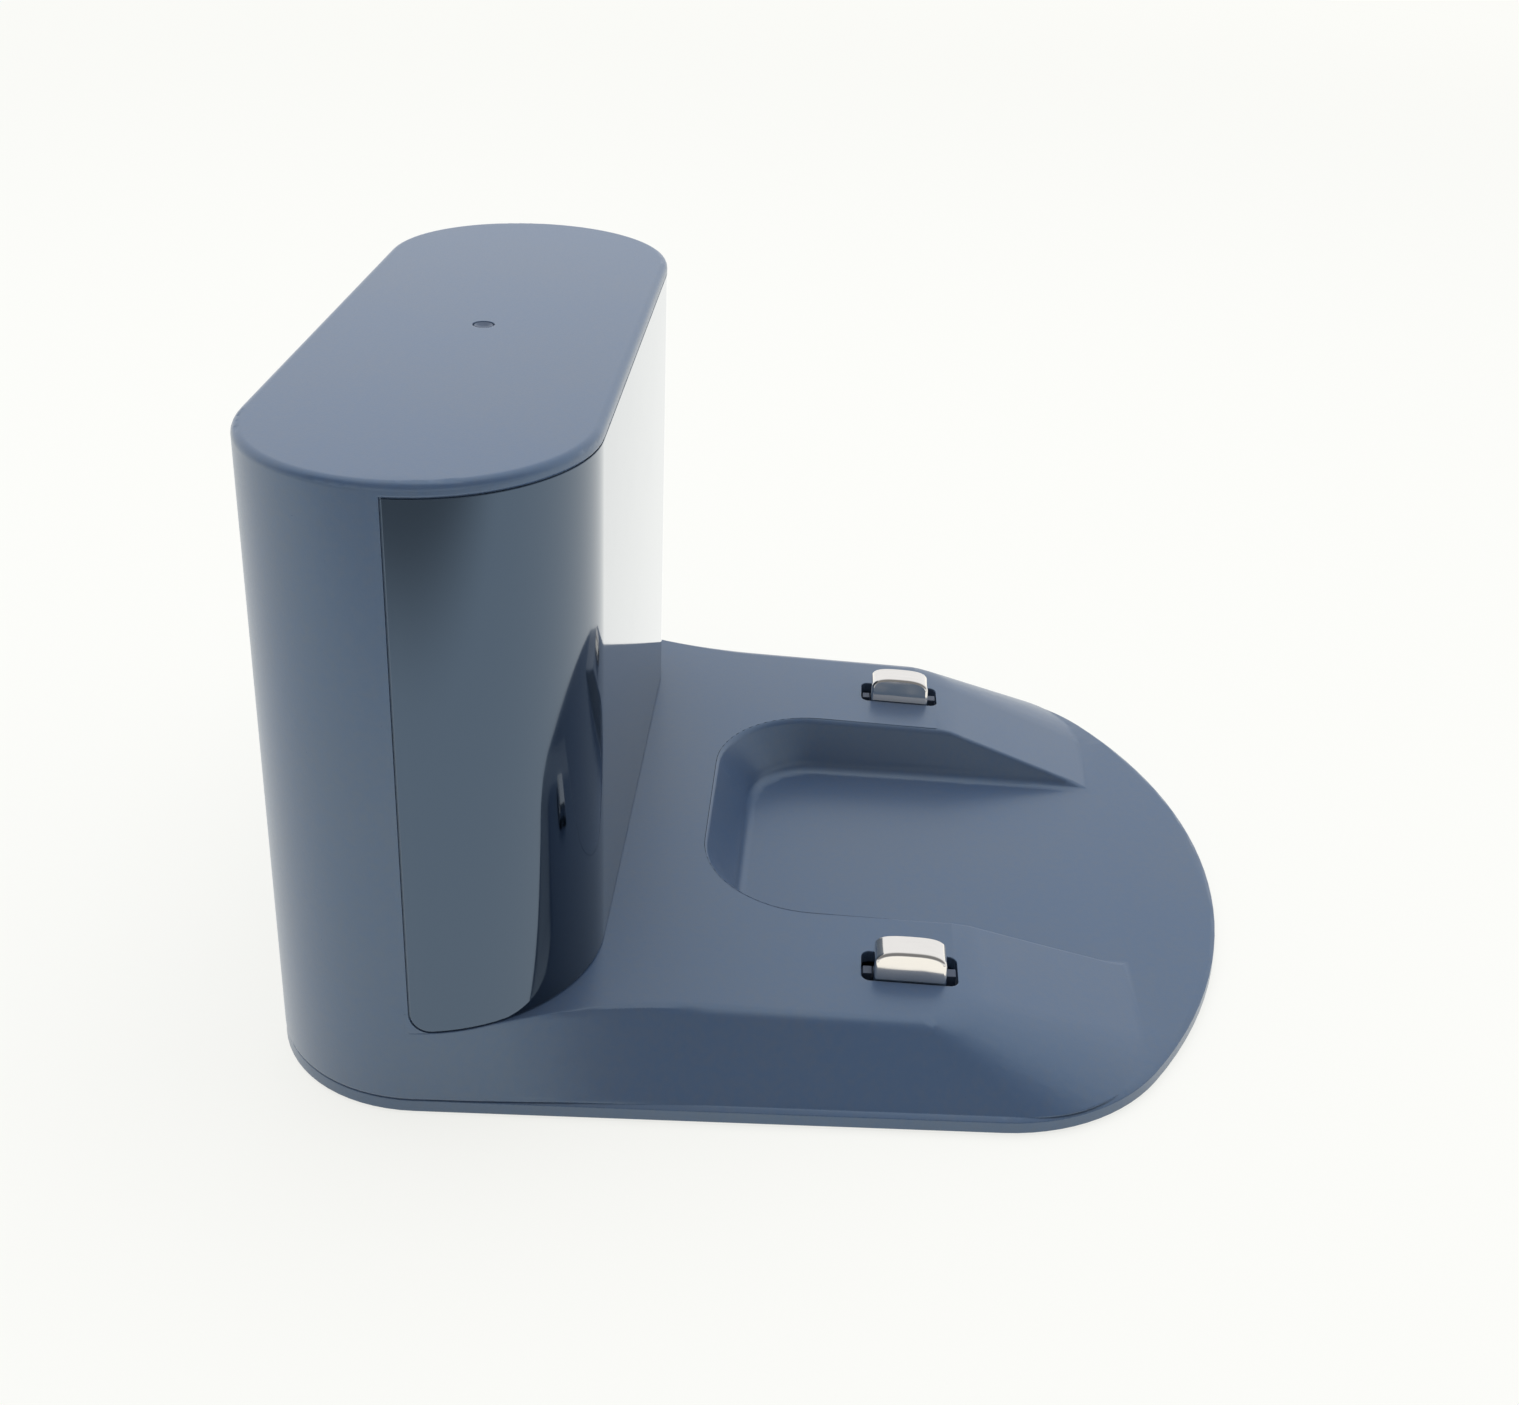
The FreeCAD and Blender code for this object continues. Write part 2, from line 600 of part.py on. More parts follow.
def recess(body):
    """The recess with its sloping floor, rounded at the floor and at the mouth."""
    floor_half = "(recess_width / 2 - recess_side_run)"
    floor_length = f"({FLOOR_REAR} - {RAMP_FOOT})"
    floor_corner = "(recess_corner - recess_rear_run)"
    sections = []
    for number, (rise, inset) in enumerate(QUARTER_ROUND):
        sketch = tilted(body, "recess_floor_%d" % number, f"rim_height + {rise} * recess_round",
                        RAMP_FOOT, f"((recess_floor - rim_height) / {floor_length})")
        step = f"{inset} * recess_round"
        recess_outline(sketch, f"({floor_half} - {step})", f"({floor_length} - {step})",
                       f"({floor_corner} - {step})", "0 * recess_round")
        sections.append(sketch)
    mouth = (("-recess_edge", "-0.2 * recess_edge"), ("-0.25 * recess_edge", "0.1 * recess_edge"),
             ("0 * recess_edge", "0.7 * recess_edge"), ("recess_edge", "0.75 * recess_edge"))
    for number, (rise, outset) in enumerate(mouth):
        sketch = on_deck(body, "recess_mouth_%d" % number, rise)
        recess_outline(sketch, f"(recess_width / 2 + {outset})", down_deck(f"({RECESS_REAR} + {outset})"),
                       f"(recess_corner + {outset})", down_deck(f"({RAMP_FOOT} - deck_height)"))
        sections.append(sketch)
    loft(body, sections, "PartDesign::SubtractiveLoft")


def tower_shell(body):
    """The rear half of the tower, its side chambers and middle wall, and the top plate."""
    sketch = half_stadium(level(body, "tower_rear", "rim_height"), END, REAR, MIDDLE)
    pad(body, sketch, f"{TOP_UNDER} - rim_height")
    inner = f"({END} - wall_thickness)"
    chamber = level(body, "tower_chambers", TOP_UNDER)
    outline(chamber, [
        (END_X, f"{REAR} - wall_thickness", inner, 1),
        (END_X, WALL_FRONT),
        (f"-{END_X}", WALL_FRONT),
        (f"-{END_X}", f"{REAR} - wall_thickness"),
        (f"-({END_X} + {inner})", MIDDLE, inner, 1),
        (f"{END_X} + {inner}", MIDDLE),
    ])
    pocket(body, chamber, f"{TOP_UNDER} - deck_height")
    top = level(body, "tower_top", TOP_UNDER)
    outline(top, [
        (END_X, REAR, END, 1),
        (f"-{END_X}", REAR),
        (f"-{HALF}", MIDDLE, END, 1),
        (f"-{END_X}", FRONT, END, 1),
        (END_X, FRONT),
        (HALF, MIDDLE, END, 1),
    ])
    pad(body, top, "top_plate")
    soften(body, "Fillet", "top_edge", lambda middle: near(middle.z, "dock_height"))


def contact_places():
    """The two contacts in plan."""
    return [(f"{sign} * contact_spacing / 2", CONTACT_Y) for sign in (-1, 1)]


def base_screw_places():
    """The bottom screws in plan."""
    rows = (f"{REAR} - base_screw_rear", f"{CONTACT_Y} + base_screw_front")
    return [(f"{sign} * base_screw_across / 2", row) for sign in (-1, 1) for row in rows]


def board_screw_places():
    """The board screws, across and up."""
    rows = ("board_bottom + board_screw_edge", "board_bottom + board_height - board_screw_edge")
    return [(f"{sign} * board_screw_across / 2", row) for sign in (-1, 1) for row in rows]


def plate_outline(sketch, gap):
    """The bottom cover in plan, or its seat with a gap."""
    half = f"(plate_width / 2 + {gap})"
    low = f"({NOSE} + plate_front - {gap})"
    high = f"({REAR} - plate_rear + {gap})"
    return rounded(sketch, f"-{half}", half, low, high, f"(plate_corner + {gap})")


def base_hollow(body):
    """The space under the deck on both sides of the recess, open downwards."""
    seat = plate_outline(level(body, "plate_seat", "foot_lift"), "seam_gap")
    pocket(body, seat, f"{SEAT_TOP} - foot_lift", along=True)
    outer = "(deck_width / 2 - 1.5 * wall_thickness)"
    inner = "(recess_width / 2 + wall_thickness)"
    front = f"({CONTACT_FRONT} - 2 * seam_gap)"
    bevel = "2 * wall_thickness"
    behind = f"({RECESS_REAR} + wall_thickness)"
    points = [
        (outer, FRONT), (f"-{outer}", FRONT), (f"-{outer}", f"({front} + {bevel})"),
        (f"-{outer} + {bevel}", front), (f"-{inner}", front), (f"-{inner}", behind),
        (inner, behind), (inner, front), (f"{outer} - {bevel}", front), (outer, f"({front} + {bevel})"),
    ]
    mouth = outline(level(body, "hollow_mouth", "foot_lift"), points)
    roof = on_deck(body, "hollow_roof", "-wall_thickness")
    outline(roof, [(across, down_deck(along)) for across, along in points])
    loft(body, [mouth, roof], "PartDesign::SubtractiveLoft")
    under_tower = level(body, "hollow_under_tower", "foot_lift")
    rectangle(under_tower, f"-{outer}", outer, FRONT, f"{MIDDLE} - wall_thickness")
    pocket(body, under_tower, "deck_height - wall_thickness - foot_lift", along=True)
    duct = level(body, "wire_duct", "deck_height")
    rectangle(duct, "-duct_width / 2", "duct_width / 2",
              f"{FRONT} + duct_front", f"{FRONT} + duct_front + duct_depth")
    pocket(body, duct, "wall_thickness")
    for number, (across, along) in enumerate(base_screw_places()):
        boss_top = f"({deck_at(along)} - 0.5 * wall_thickness)"
        boss = circles(level(body, "base_boss_%d" % number, boss_top), [(across, along)], "boss_radius")
        pad(body, boss, f"{boss_top} - {SEAT_TOP}", back=True)
    pilots = level(body, "base_pilots", SEAT_TOP)
    circles(pilots, base_screw_places(), "screw_radius")
    pocket(body, pilots, "screw_depth", along=True)


def contact_slots(body):
    """The slots in the deck that the contacts stand in."""
    for number, (across, along) in enumerate(contact_places()):
        rear = f"({along} + slot_length / 2)"
        slot = level(body, "contact_slot_%d" % number, deck_at(rear))
        rounded(slot, f"({across} - slot_width / 2)", f"({across} + slot_width / 2)",
                f"({along} - slot_length / 2)", rear, "slot_corner")
        pocket(body, slot, f"wall_thickness + slot_length * {SLOPE}")


def cord_bay(body):
    """The bay in the tower's back, the lid's seat, the inlet's window and the board's bosses."""
    seat_half = "(lid_width / 2 + seam_gap)"
    low = "(lid_bottom - seam_gap)"
    high = "(lid_bottom + lid_height + seam_gap)"
    seat = upright(body, "lid_seat", REAR)
    rounded(seat, f"-{seat_half}", seat_half, low, high, "(lid_corner + seam_gap)")
    pocket(body, seat, "lid_thickness", along=True)
    half = "(lid_width / 2 - lid_ledge)"
    bay = upright(body, "cord_bay", REAR)
    rounded(bay, f"-{half}", half, "(lid_bottom + lid_ledge)",
            "(lid_bottom + lid_height - lid_ledge)", "lid_corner")
    pocket(body, bay, f"{REAR} - {WALL_REAR}", along=True)
    window = upright(body, "inlet_window", WALL_REAR)
    rectangle(window, "-(inlet_width / 2 + fit_gap)", "inlet_width / 2 + fit_gap",
              "inlet_height - inlet_tall / 2 - fit_gap", "inlet_height + inlet_tall / 2 + fit_gap")
    pocket(body, window, "wall_thickness", along=True)
    bosses = circles(upright(body, "board_bosses", WALL_FRONT), board_screw_places(), "boss_radius")
    pad(body, bosses, "board_standoff")
    pilots = circles(upright(body, "board_pilots", BOARD_REAR), board_screw_places(), "screw_radius")
    pocket(body, pilots, "screw_depth")


def light_window(body):
    """The small round window in the middle of the top."""
    hole = level(body, "light_window", "dock_height")
    circles(hole, [("0 * light_radius", MIDDLE)], "(light_radius + fit_gap)")
    pocket(body, hole, "top_plate")


def upper_housing():
    """Base, rear half of the tower and top in one moulding."""
    body = new_body("upper_housing")
    nose_plate(body)
    raised_block(body)
    recess(body)
    tower_shell(body)
    base_hollow(body)
    contact_slots(body)
    cord_bay(body)
    light_window(body)


def front_cover():
    """The polished cover round the front half of the tower, with clip tongues at its ends."""
    body = new_body("front_cover")
    seam = f"({MIDDLE} - seam_gap)"
    inner = f"({END} - wall_thickness)"
    shell = level(body, "cover_shell", COVER_LOW)
    outline(shell, [
        (HALF, seam, END, 1),
        (f"{END_X} + {inner}", seam),
        (END_X, f"{FRONT} + wall_thickness", inner, -1),
        (f"-{END_X}", f"{FRONT} + wall_thickness"),
        (f"-({END_X} + {inner})", seam, inner, -1),
        (f"-{HALF}", seam),
        (f"-{END_X}", FRONT, END, 1),
        (END_X, FRONT),
    ])
    pad(body, shell, f"{COVER_TOP} - {COVER_LOW}")
    tongue_out = f"({END_X} + {inner} - seam_gap - fit_gap - 0.3 * clip_thickness)"
    tongue_in = f"({tongue_out} - clip_thickness)"
    for number, height in enumerate(("clip_low", "clip_high")):
        for side, sign in (("left", -1), ("right", 1)):
            clip = level(body, "clip_%s_%d" % (side, number), height)
            ends = (f"{sign} * {tongue_in}", f"{sign} * {tongue_out}")
            rectangle(clip, ends[0] if sign > 0 else ends[1], ends[1] if sign > 0 else ends[0],
                      f"{MIDDLE} + middle_room - clip_length", f"{MIDDLE} + middle_room")
            pad(body, clip, "clip_width")
    soften(body, "Fillet", "seam_corner",
           lambda middle: near(middle.y, seam) and near(middle.z, COVER_LOW))


def bottom_cover():
    """The plate that closes the base from below, with seats for the feet and the screw heads."""
    body = new_body("bottom_cover")
    plate = plate_outline(level(body, "bottom_plate", "foot_lift"), "0 * seam_gap")
    pad(body, plate, "plate_thickness")
    seats = circles(level(body, "foot_seats", "foot_lift"), foot_places(), "(foot_radius + fit_gap)")
    pocket(body, seats, "foot_seat", along=True)
    heads = level(body, "screw_seats", "foot_lift")
    circles(heads, base_screw_places(), "(screw_head + fit_gap)")
    pocket(body, heads, "0.6 * plate_thickness", along=True)
    holes = level(body, "screw_holes", "foot_lift")
    circles(holes, base_screw_places(), "(screw_radius + fit_gap)")
    pocket(body, holes, "plate_thickness", along=True)


def foot_places():
    """The rubber feet in plan."""
    rows = (f"{REAR} - foot_rear", f"{NOSE} + foot_front")
    return [(f"{sign} * foot_across / 2", row) for sign in (-1, 1) for row in rows]


def rubber_feet():
    """Round feet in their seats under the bottom cover."""
    feet = [rod("foot_%d" % number, "foot_radius", "foot_lift + foot_seat",
                (across, along, "0 * foot_lift"))
            for number, (across, along) in enumerate(foot_places())]
    together("rubber_feet", feet)


def cover_screws():
    """The screws that hold the bottom cover."""
    items = []
    seat = "(foot_lift + 0.6 * plate_thickness)"
    for number, (across, along) in enumerate(base_screw_places()):
        name = "cover_screw_%d" % number
        head = rod(name + "_head", "screw_head", "0.5 * plate_thickness",
                   (across, along, f"{seat} - 0.5 * plate_thickness"))
        shank = rod(name + "_shank", "(screw_radius - fit_gap)", "screw_depth - fit_gap",
                    (across, along, seat))
        items.append(joined(name, [head, shank]))
    together("cover_screws", items)


def board_screws():
    """The screws that hold the main board on its bosses."""
    items = []
    for number, (across, up) in enumerate(board_screw_places()):
        name = "board_screw_%d" % number
        head = rod(name + "_head", "screw_head", "2 * head_height", (across, BOARD_FRONT, up), TO_NOSE)
        shank = rod(name + "_shank", "(screw_radius - fit_gap)", "screw_depth",
                    (across, BOARD_FRONT, up), TO_REAR)
        items.append(joined(name, [head, shank]))
    together("board_screws", items)


def rear_lid():
    """The snap-off lid of the cord bay, with tabs, cord outlets and a finger grip."""
    body = new_body("rear_lid")
    panel = upright(body, "lid_panel", REAR)
    rounded(panel, "-lid_width / 2", "lid_width / 2", "lid_bottom", "(lid_bottom + lid_height)",
            "lid_corner")
    pad(body, panel, "lid_thickness")
    bay_low = "(lid_bottom + lid_ledge + seam_gap)"
    bay_high = "(lid_bottom + lid_height - lid_ledge - seam_gap)"
    for number, sign in enumerate((-1, 1)):
        left = f"({sign} * lid_tab_spacing / 2 - lid_tab_width / 2)"
        right = f"({sign} * lid_tab_spacing / 2 + lid_tab_width / 2)"
        high = upright(body, "lid_tab_high_%d" % number, f"({REAR} - lid_thickness)")
        rectangle(high, left, right, f"{bay_high} - lid_tab_thickness", bay_high)
        pad(body, high, "lid_tab_length")
        low = upright(body, "lid_tab_low_%d" % number, f"({REAR} - lid_thickness)")
        shift = "(outlet_spacing / 2 - lid_tab_spacing / 2 - lid_tab_width)"
        rectangle(low, f"{left} + {sign} * {shift}", f"{right} + {sign} * {shift}",
                  bay_low, f"{bay_low} + lid_tab_thickness")
        pad(body, low, "lid_tab_length")
        outlet = upright(body, "cord_outlet_%d" % number, REAR)
        middle = f"{sign} * outlet_spacing / 2"
        outline(outlet, [
            (f"{middle} + outlet_width / 2", "lid_bottom + outlet_height - outlet_width / 2",),
            (f"{middle}", "lid_bottom + outlet_height", "(outlet_width / 2)", 1),
            (f"{middle} - outlet_width / 2", "lid_bottom + outlet_height - outlet_width / 2",
             "(outlet_width / 2)", 1),
            (f"{middle} - outlet_width / 2", "lid_bottom - seam_gap"),
            (f"{middle} + outlet_width / 2", "lid_bottom - seam_gap"),
        ])
        pocket(body, outlet, "lid_thickness", along=True)
    grip = upright(body, "finger_grip", REAR)
    rounded(grip, "-grip_width / 2", "grip_width / 2",
            "(lid_bottom + lid_height - 2 * grip_height)", "(lid_bottom + lid_height - grip_height)",
            "(0.45 * grip_height)")
    pocket(body, grip, "grip_depth", along=True)


def mains_inlet():
    """The figure-eight mains inlet with its flange and socket."""
    body = new_body("mains_inlet")
    half = "(inlet_width / 2)"
    low = "(inlet_height - inlet_tall / 2)"
    high = "(inlet_height + inlet_tall / 2)"
    flange = upright(body, "inlet_flange_face", f"({WALL_REAR} + inlet_lip)")
    rounded(flange, f"-({half} + inlet_flange)", f"({half} + inlet_flange)", f"({low} - inlet_flange)",
            f"({high} + inlet_flange)", "inlet_flange")
    pad(body, flange, "inlet_lip")
    rectangle(core := upright(body, "inlet_body", WALL_REAR), f"-{half}", half, low, high)
    pad(body, core, "inlet_length")
    socket = upright(body, "inlet_socket", f"({WALL_REAR} + inlet_lip)")
    rounded(socket, "-socket_width / 2", "socket_width / 2", "(inlet_height - socket_tall / 2)",
            "(inlet_height + socket_tall / 2)", "socket_corner")
    pocket(body, socket, "socket_depth", along=True)
    holes = upright(body, "inlet_pin_holes", f"({WALL_REAR} - inlet_length)")
    circles(holes, pin_places(), "(pin_radius + 0.5 * fit_gap)")
    pocket(body, holes, "inlet_length")


def pin_places():
    """The inlet pins, across and up."""
    return [(f"{sign} * pin_spacing / 2", "inlet_height") for sign in (-1, 1)]


PIN_END = f"({WALL_REAR} - inlet_length - pin_tail)"


def inlet_pins():
    """The two pins of the inlet, with their tails behind it."""
    length = "(pin_tail + inlet_length + inlet_lip - socket_depth + pin_length)"
    pins = [rod("inlet_pin_%d" % number, "pin_radius", length, (across, PIN_END, up), TO_REAR)
            for number, (across, up) in enumerate(pin_places())]
    together("inlet_pins", pins)


def main_board():
    """The power board on its four bosses."""
    body = new_body("main_board")
    sheet = upright(body, "board_sheet", BOARD_REAR)
    rectangle(sheet, "-board_width / 2", "board_width / 2", "board_bottom",
              "board_bottom + board_height")
    pad(body, sheet, "board_thickness")
    holes = upright(body, "board_holes", BOARD_REAR)
    circles(holes, board_screw_places(), "(screw_radius + fit_gap)")
    pocket(body, holes, "board_thickness", along=True)


def transformer():
    """A frame core round a winding on its bobbin."""
    core = new_body("transformer_core")
    half = "(core_width / 2)"
    tall = "(core_height / 2)"
    deep = f"({BOARD_FRONT} - bobbin_base - {FRONT} - wall_thickness - winding_gap)"
    start = f"({BOARD_FRONT} - bobbin_base - 0.5 * {deep} + 0.5 * core_depth)"
    frame = upright(core, "core_frame", start)
    rectangle(frame, f"transformer_x - {half}", f"transformer_x + {half}",
              f"transformer_z - {tall}", f"transformer_z + {tall}")
    pad(core, frame, "core_depth")
    window = upright(core, "core_window", start)
    rectangle(window, f"transformer_x - {half} + core_limb", f"transformer_x + {half} - core_limb",
              f"transformer_z - {tall} + core_limb", f"transformer_z + {tall} - core_limb")
    pocket(core, window, "core_depth", along=True)
    winding = new_body("transformer_winding")
    foot = upright(winding, "bobbin_foot", BOARD_FRONT)
    rectangle(foot, f"transformer_x - {half}", f"transformer_x + {half}",
              f"transformer_z - {tall}", f"transformer_z + {tall}")
    pad(winding, foot, "bobbin_base")
    coil = upright(winding, "winding_coil", f"({BOARD_FRONT} - bobbin_base)")
    wide = f"({half} - core_limb - fit_gap)"
    high = f"({tall} - core_limb - fit_gap)"
    rounded(coil, f"(transformer_x - {wide})", f"(transformer_x + {wide})",
            f"(transformer_z - {high})", f"(transformer_z + {high})", "(0.3 * core_limb)")
    pad(winding, coil, deep)


def can(name, radius, length, across, up):
    """A round capacitor can that stands on the board."""
    body = new_body(name)
    foot = upright(body, name + "_foot", BOARD_FRONT)
    circles(foot, [(across, up)], radius)
    pad(body, foot, length)
    soften(body, "Chamfer", "can_edge", lambda middle: near(middle.y, f"{BOARD_FRONT} - {length}"))


def safety_capacitor():
    """A moulded box capacitor."""
    body = new_body("safety_capacitor")
    foot = upright(body, "film_foot", BOARD_FRONT)
    rounded(foot, "(film_x - film_width / 2)", "(film_x + film_width / 2)",
            "(film_z - film_height / 2)", "(film_z + film_height / 2)", "film_edge")
    pad(body, foot, "film_depth")


def line_fuse():
    """A fuse that lies along the board, with an end cap at each end."""
    place_y = f"({BOARD_FRONT} - fuse_radius - fit_gap)"
    left = "(fuse_x - fuse_length / 2)"
    tube = rod("fuse_tube", "(fuse_radius - 2 * fit_gap)", "fuse_length",
               (left, place_y, "fuse_z"), TO_SIDE)
    caps = [rod("fuse_cap_low", "fuse_radius", "fuse_cap", (left, place_y, "fuse_z"), TO_SIDE),
            rod("fuse_cap_high", "fuse_radius", "fuse_cap",
                ("fuse_x + fuse_length / 2 - fuse_cap", place_y, "fuse_z"), TO_SIDE)]
    PIECES.append(joined("line_fuse", [tube] + caps))


def heat_sink():
    """A finned heat sink, and the transistor that it cools."""
    body = new_body("heat_sink")
    half = "(sink_width / 2)"
    plate = upright(body, "sink_plate_face", BOARD_FRONT)
    rectangle(plate, f"sink_x - {half}", f"sink_x + {half}", "sink_z", "sink_z + sink_plate")
    pad(body, plate, "sink_depth")
    pitch = "((sink_width - sink_fin) / 4)"
    for number in range(5):
        fin = upright(body, "sink_fin_%d" % number, BOARD_FRONT)
        left = f"sink_x - {half} + {number} * {pitch}"
        rectangle(fin, left, f"{left} + sink_fin", "sink_z + 0.5 * sink_plate",
                  "sink_z + sink_plate + sink_fin_height")
        pad(body, fin, "sink_depth")
    device = new_body("power_transistor")
    case = upright(device, "device_case", f"({BOARD_FRONT} - device_legs)")
    outline(case, [
        ("sink_x + device_width / 2", "sink_z"),
        ("sink_x - device_width / 2", "sink_z"),
        ("sink_x - device_width / 2", "sink_z - 0.7 * device_thickness"),
        ("sink_x - 0.4 * device_width", "sink_z - device_thickness"),
        ("sink_x + 0.4 * device_width", "sink_z - device_thickness"),
        ("sink_x + device_width / 2", "sink_z - 0.7 * device_thickness"),
    ])
    pad(device, case, "device_depth")
    legs = upright(device, "device_legs", BOARD_FRONT)
    rectangle(legs, "sink_x - 0.3 * device_width", "sink_x + 0.3 * device_width",
              "sink_z - 0.6 * device_thickness", "sink_z - 0.4 * device_thickness")
    pad(device, legs, "1.25 * device_legs")


def emitter_places():
    """The infrared emitters, across and up."""
    return [(f"{step} * emitter_spacing", "holder_z") for step in (-1, 0, 1)]


def beacon():
    """The infrared emitters in their holder, just behind the front cover."""
    holder = new_body("emitter_holder")
    foot = upright(holder, "holder_foot", BOARD_FRONT)
    rounded(foot, "-holder_width / 2", "holder_width / 2", "(holder_z - holder_height / 2)",
            "(holder_z + holder_height / 2)", "(0.2 * holder_height)")
    pad(holder, foot, "holder_depth")
    bores = upright(holder, "holder_bores", f"({BOARD_FRONT} - holder_depth)")
    circles(bores, emitter_places(), "(emitter_radius + fit_gap)")
    pocket(holder, bores, "emitter_depth")
    items = []
    start = f"({BOARD_FRONT} - holder_depth + emitter_depth)"
    for number, (across, up) in enumerate(emitter_places()):
        stem = rod("emitter_stem_%d" % number, "emitter_radius", "emitter_body - emitter_radius",
                   (across, start, up), TO_NOSE)
        dome = solid("Part::Cone", "emitter_dome_%d" % number,
                     {"Radius1": "emitter_radius", "Radius2": "0.5 * emitter_radius",
                      "Height": "emitter_radius"},
                     (across, f"{start} - emitter_body + emitter_radius", up), TO_NOSE)
        items.append(joined("emitter_%d" % number, [stem, dome]))
    together("emitter_leds", items)


PIPE_LOW = f"({TOP_UNDER} - 3 * light_flange_height)"


def status_light():
    """The light source behind the board's upper edge, and the pipe that carries its light to the top."""
    pipe = rod("pipe_rod", "light_radius", f"dock_height - light_dish - {PIPE_LOW}",
               ("0 * light_radius", MIDDLE, PIPE_LOW))
    flange = rod("pipe_flange", "light_flange", "light_flange_height",
                 ("0 * light_radius", MIDDLE, f"{TOP_UNDER} - light_flange_height"))
    PIECES.append(joined("light_pipe", [pipe, flange]))
    reach = f"({MIDDLE} + light_radius - {BOARD_REAR})"
    low = f"({PIPE_LOW} - seam_gap - status_height)"
    body = new_body("status_led")
    rectangle(foot := level(body, "status_foot", low), "-light_radius", "light_radius",
              BOARD_REAR, f"{BOARD_REAR} + {reach}")
    pad(body, foot, "0.7 * status_height")
    lens = circles(level(body, "status_lens", f"{low} + 0.7 * status_height"),
                   [("0 * light_radius", MIDDLE)], "(0.9 * light_radius)")
    pad(body, lens, "0.3 * status_height")


# Corners of a hexagon inside a circle of radius one, for thin wires
HEXAGON = ((0.866, 0.5), (0, 1), (-0.866, 0.5), (-0.866, -0.5), (0, -1), (0.866, -0.5))


def wire_section(sketch, across, up, radius):
    """The section of a thin wire."""
    return outline(sketch, [(f"{across} + {out} * {radius}", f"{up} + {high} * {radius}")
                            for out, high in HEXAGON])


def contact_cap(side, across, box):
    """The plated cap: a strip with rounded ends and sloping sides, hollow inside."""
    body = new_body(side + "_contact_cap")
    outer, end = "(cap_length / 2)", "(cap_top_length / 2)"
    flat = f"({end} - cap_round)"
    strip = sideways(body, side + "_cap_strip", f"({across} - cap_width / 2)")
    outline(strip, [
        (f"{CONTACT_Y} + {flat}", f"{CAP_TOP} + {flat} * {SLOPE}", "cap_round", 1),
        (f"{CONTACT_Y} - {flat}", f"{CAP_TOP} - {flat} * {SLOPE}"),
        (f"{CONTACT_Y} - {end}", f"{CAP_TOP} - cap_round - {flat} * {SLOPE}", "cap_round", 1),
        (f"{CONTACT_Y} - {outer}", CONTACT_DECK),
        (f"{CONTACT_Y} - {outer}", CAP_LOW),
        (f"{CONTACT_Y} + {outer}", CAP_LOW),
        (f"{CONTACT_Y} + {outer}", CONTACT_DECK),
        (f"{CONTACT_Y} + {end}", f"{CAP_TOP} - cap_round + {flat} * {SLOPE}"),
    ])
    pad(body, strip, "cap_width")
    for name, turn in (("outer", -1), ("inner", 1)):
        slope = upright(body, "%s_cap_%s_slope" % (side, name), f"({CONTACT_Y} + {outer})")
        outline(slope, [
            (f"{across} + {turn} * cap_width / 2", CONTACT_DECK),
            (f"{across} + {turn} * cap_width / 2", f"{CAP_TOP} + cap_round"),
            (f"{across} + {turn} * cap_top_width / 2", f"{CAP_TOP} + cap_round"),
            (f"{across} + {turn} * cap_top_width / 2", CAP_TOP),
        ])
        pocket(body, slope, "cap_length", along=True)
    inside = ("(cap_width - 2 * cap_sheet)", "(cap_length - 2 * cap_sheet)")
    low = box(level(body, side + "_cap_inner_low", CAP_LOW), *inside)
    waist = box(level(body, side + "_cap_inner_deck", CONTACT_DECK), *inside)
    roof = box(level(body, side + "_cap_roof", f"{CAP_TOP} - 2 * cap_sheet"),
               "(cap_top_width - 2 * cap_sheet)", "(cap_top_length - cap_sheet - cap_round)")
    loft(body, [low, waist, roof], "PartDesign::SubtractiveLoft")


def contact_carrier(side, across, box):
    """The carrier: a foot under the deck, a core inside the cap and a hook at each end of the slot."""
    body = new_body(side + "_contact_carrier")
    foot = box(level(body, side + "_carrier_foot", CARRIER_LOW), "(slot_width - 2 * seam_gap)",
               "(slot_length + 2 * foot_overlap)")
    pad(body, foot, "carrier_foot")
    core = box(level(body, side + "_carrier_core", CAP_LOW), "(cap_width - 2 * cap_sheet - 2 * fit_gap)",
               "(cap_length - 2 * cap_sheet - 2 * fit_gap)")
    pad(body, core, f"{CONTACT_DECK} - {CAP_LOW}")
    near_cap = "(cap_length / 2 + fit_gap)"
    near_slot = "(slot_length / 2 - seam_gap)"
    for name, first, last in (("rear", near_cap, near_slot), ("front", f"-{near_slot}", f"-{near_cap}")):
        hook = level(body, "%s_carrier_%s_hook" % (side, name), CAP_LOW)
        rectangle(hook, f"{across} - hook_width / 2", f"{across} + hook_width / 2",
                  f"{CONTACT_Y} + {first}", f"{CONTACT_Y} + {last}")
        pad(body, hook, f"{CONTACT_DECK} - hook_drop - {CAP_LOW}")
    bore = circles(level(body, side + "_carrier_bore", CARRIER_LOW), [(across, CONTACT_Y)], "bore_radius")
    pocket(body, bore, "bore_depth", along=True)


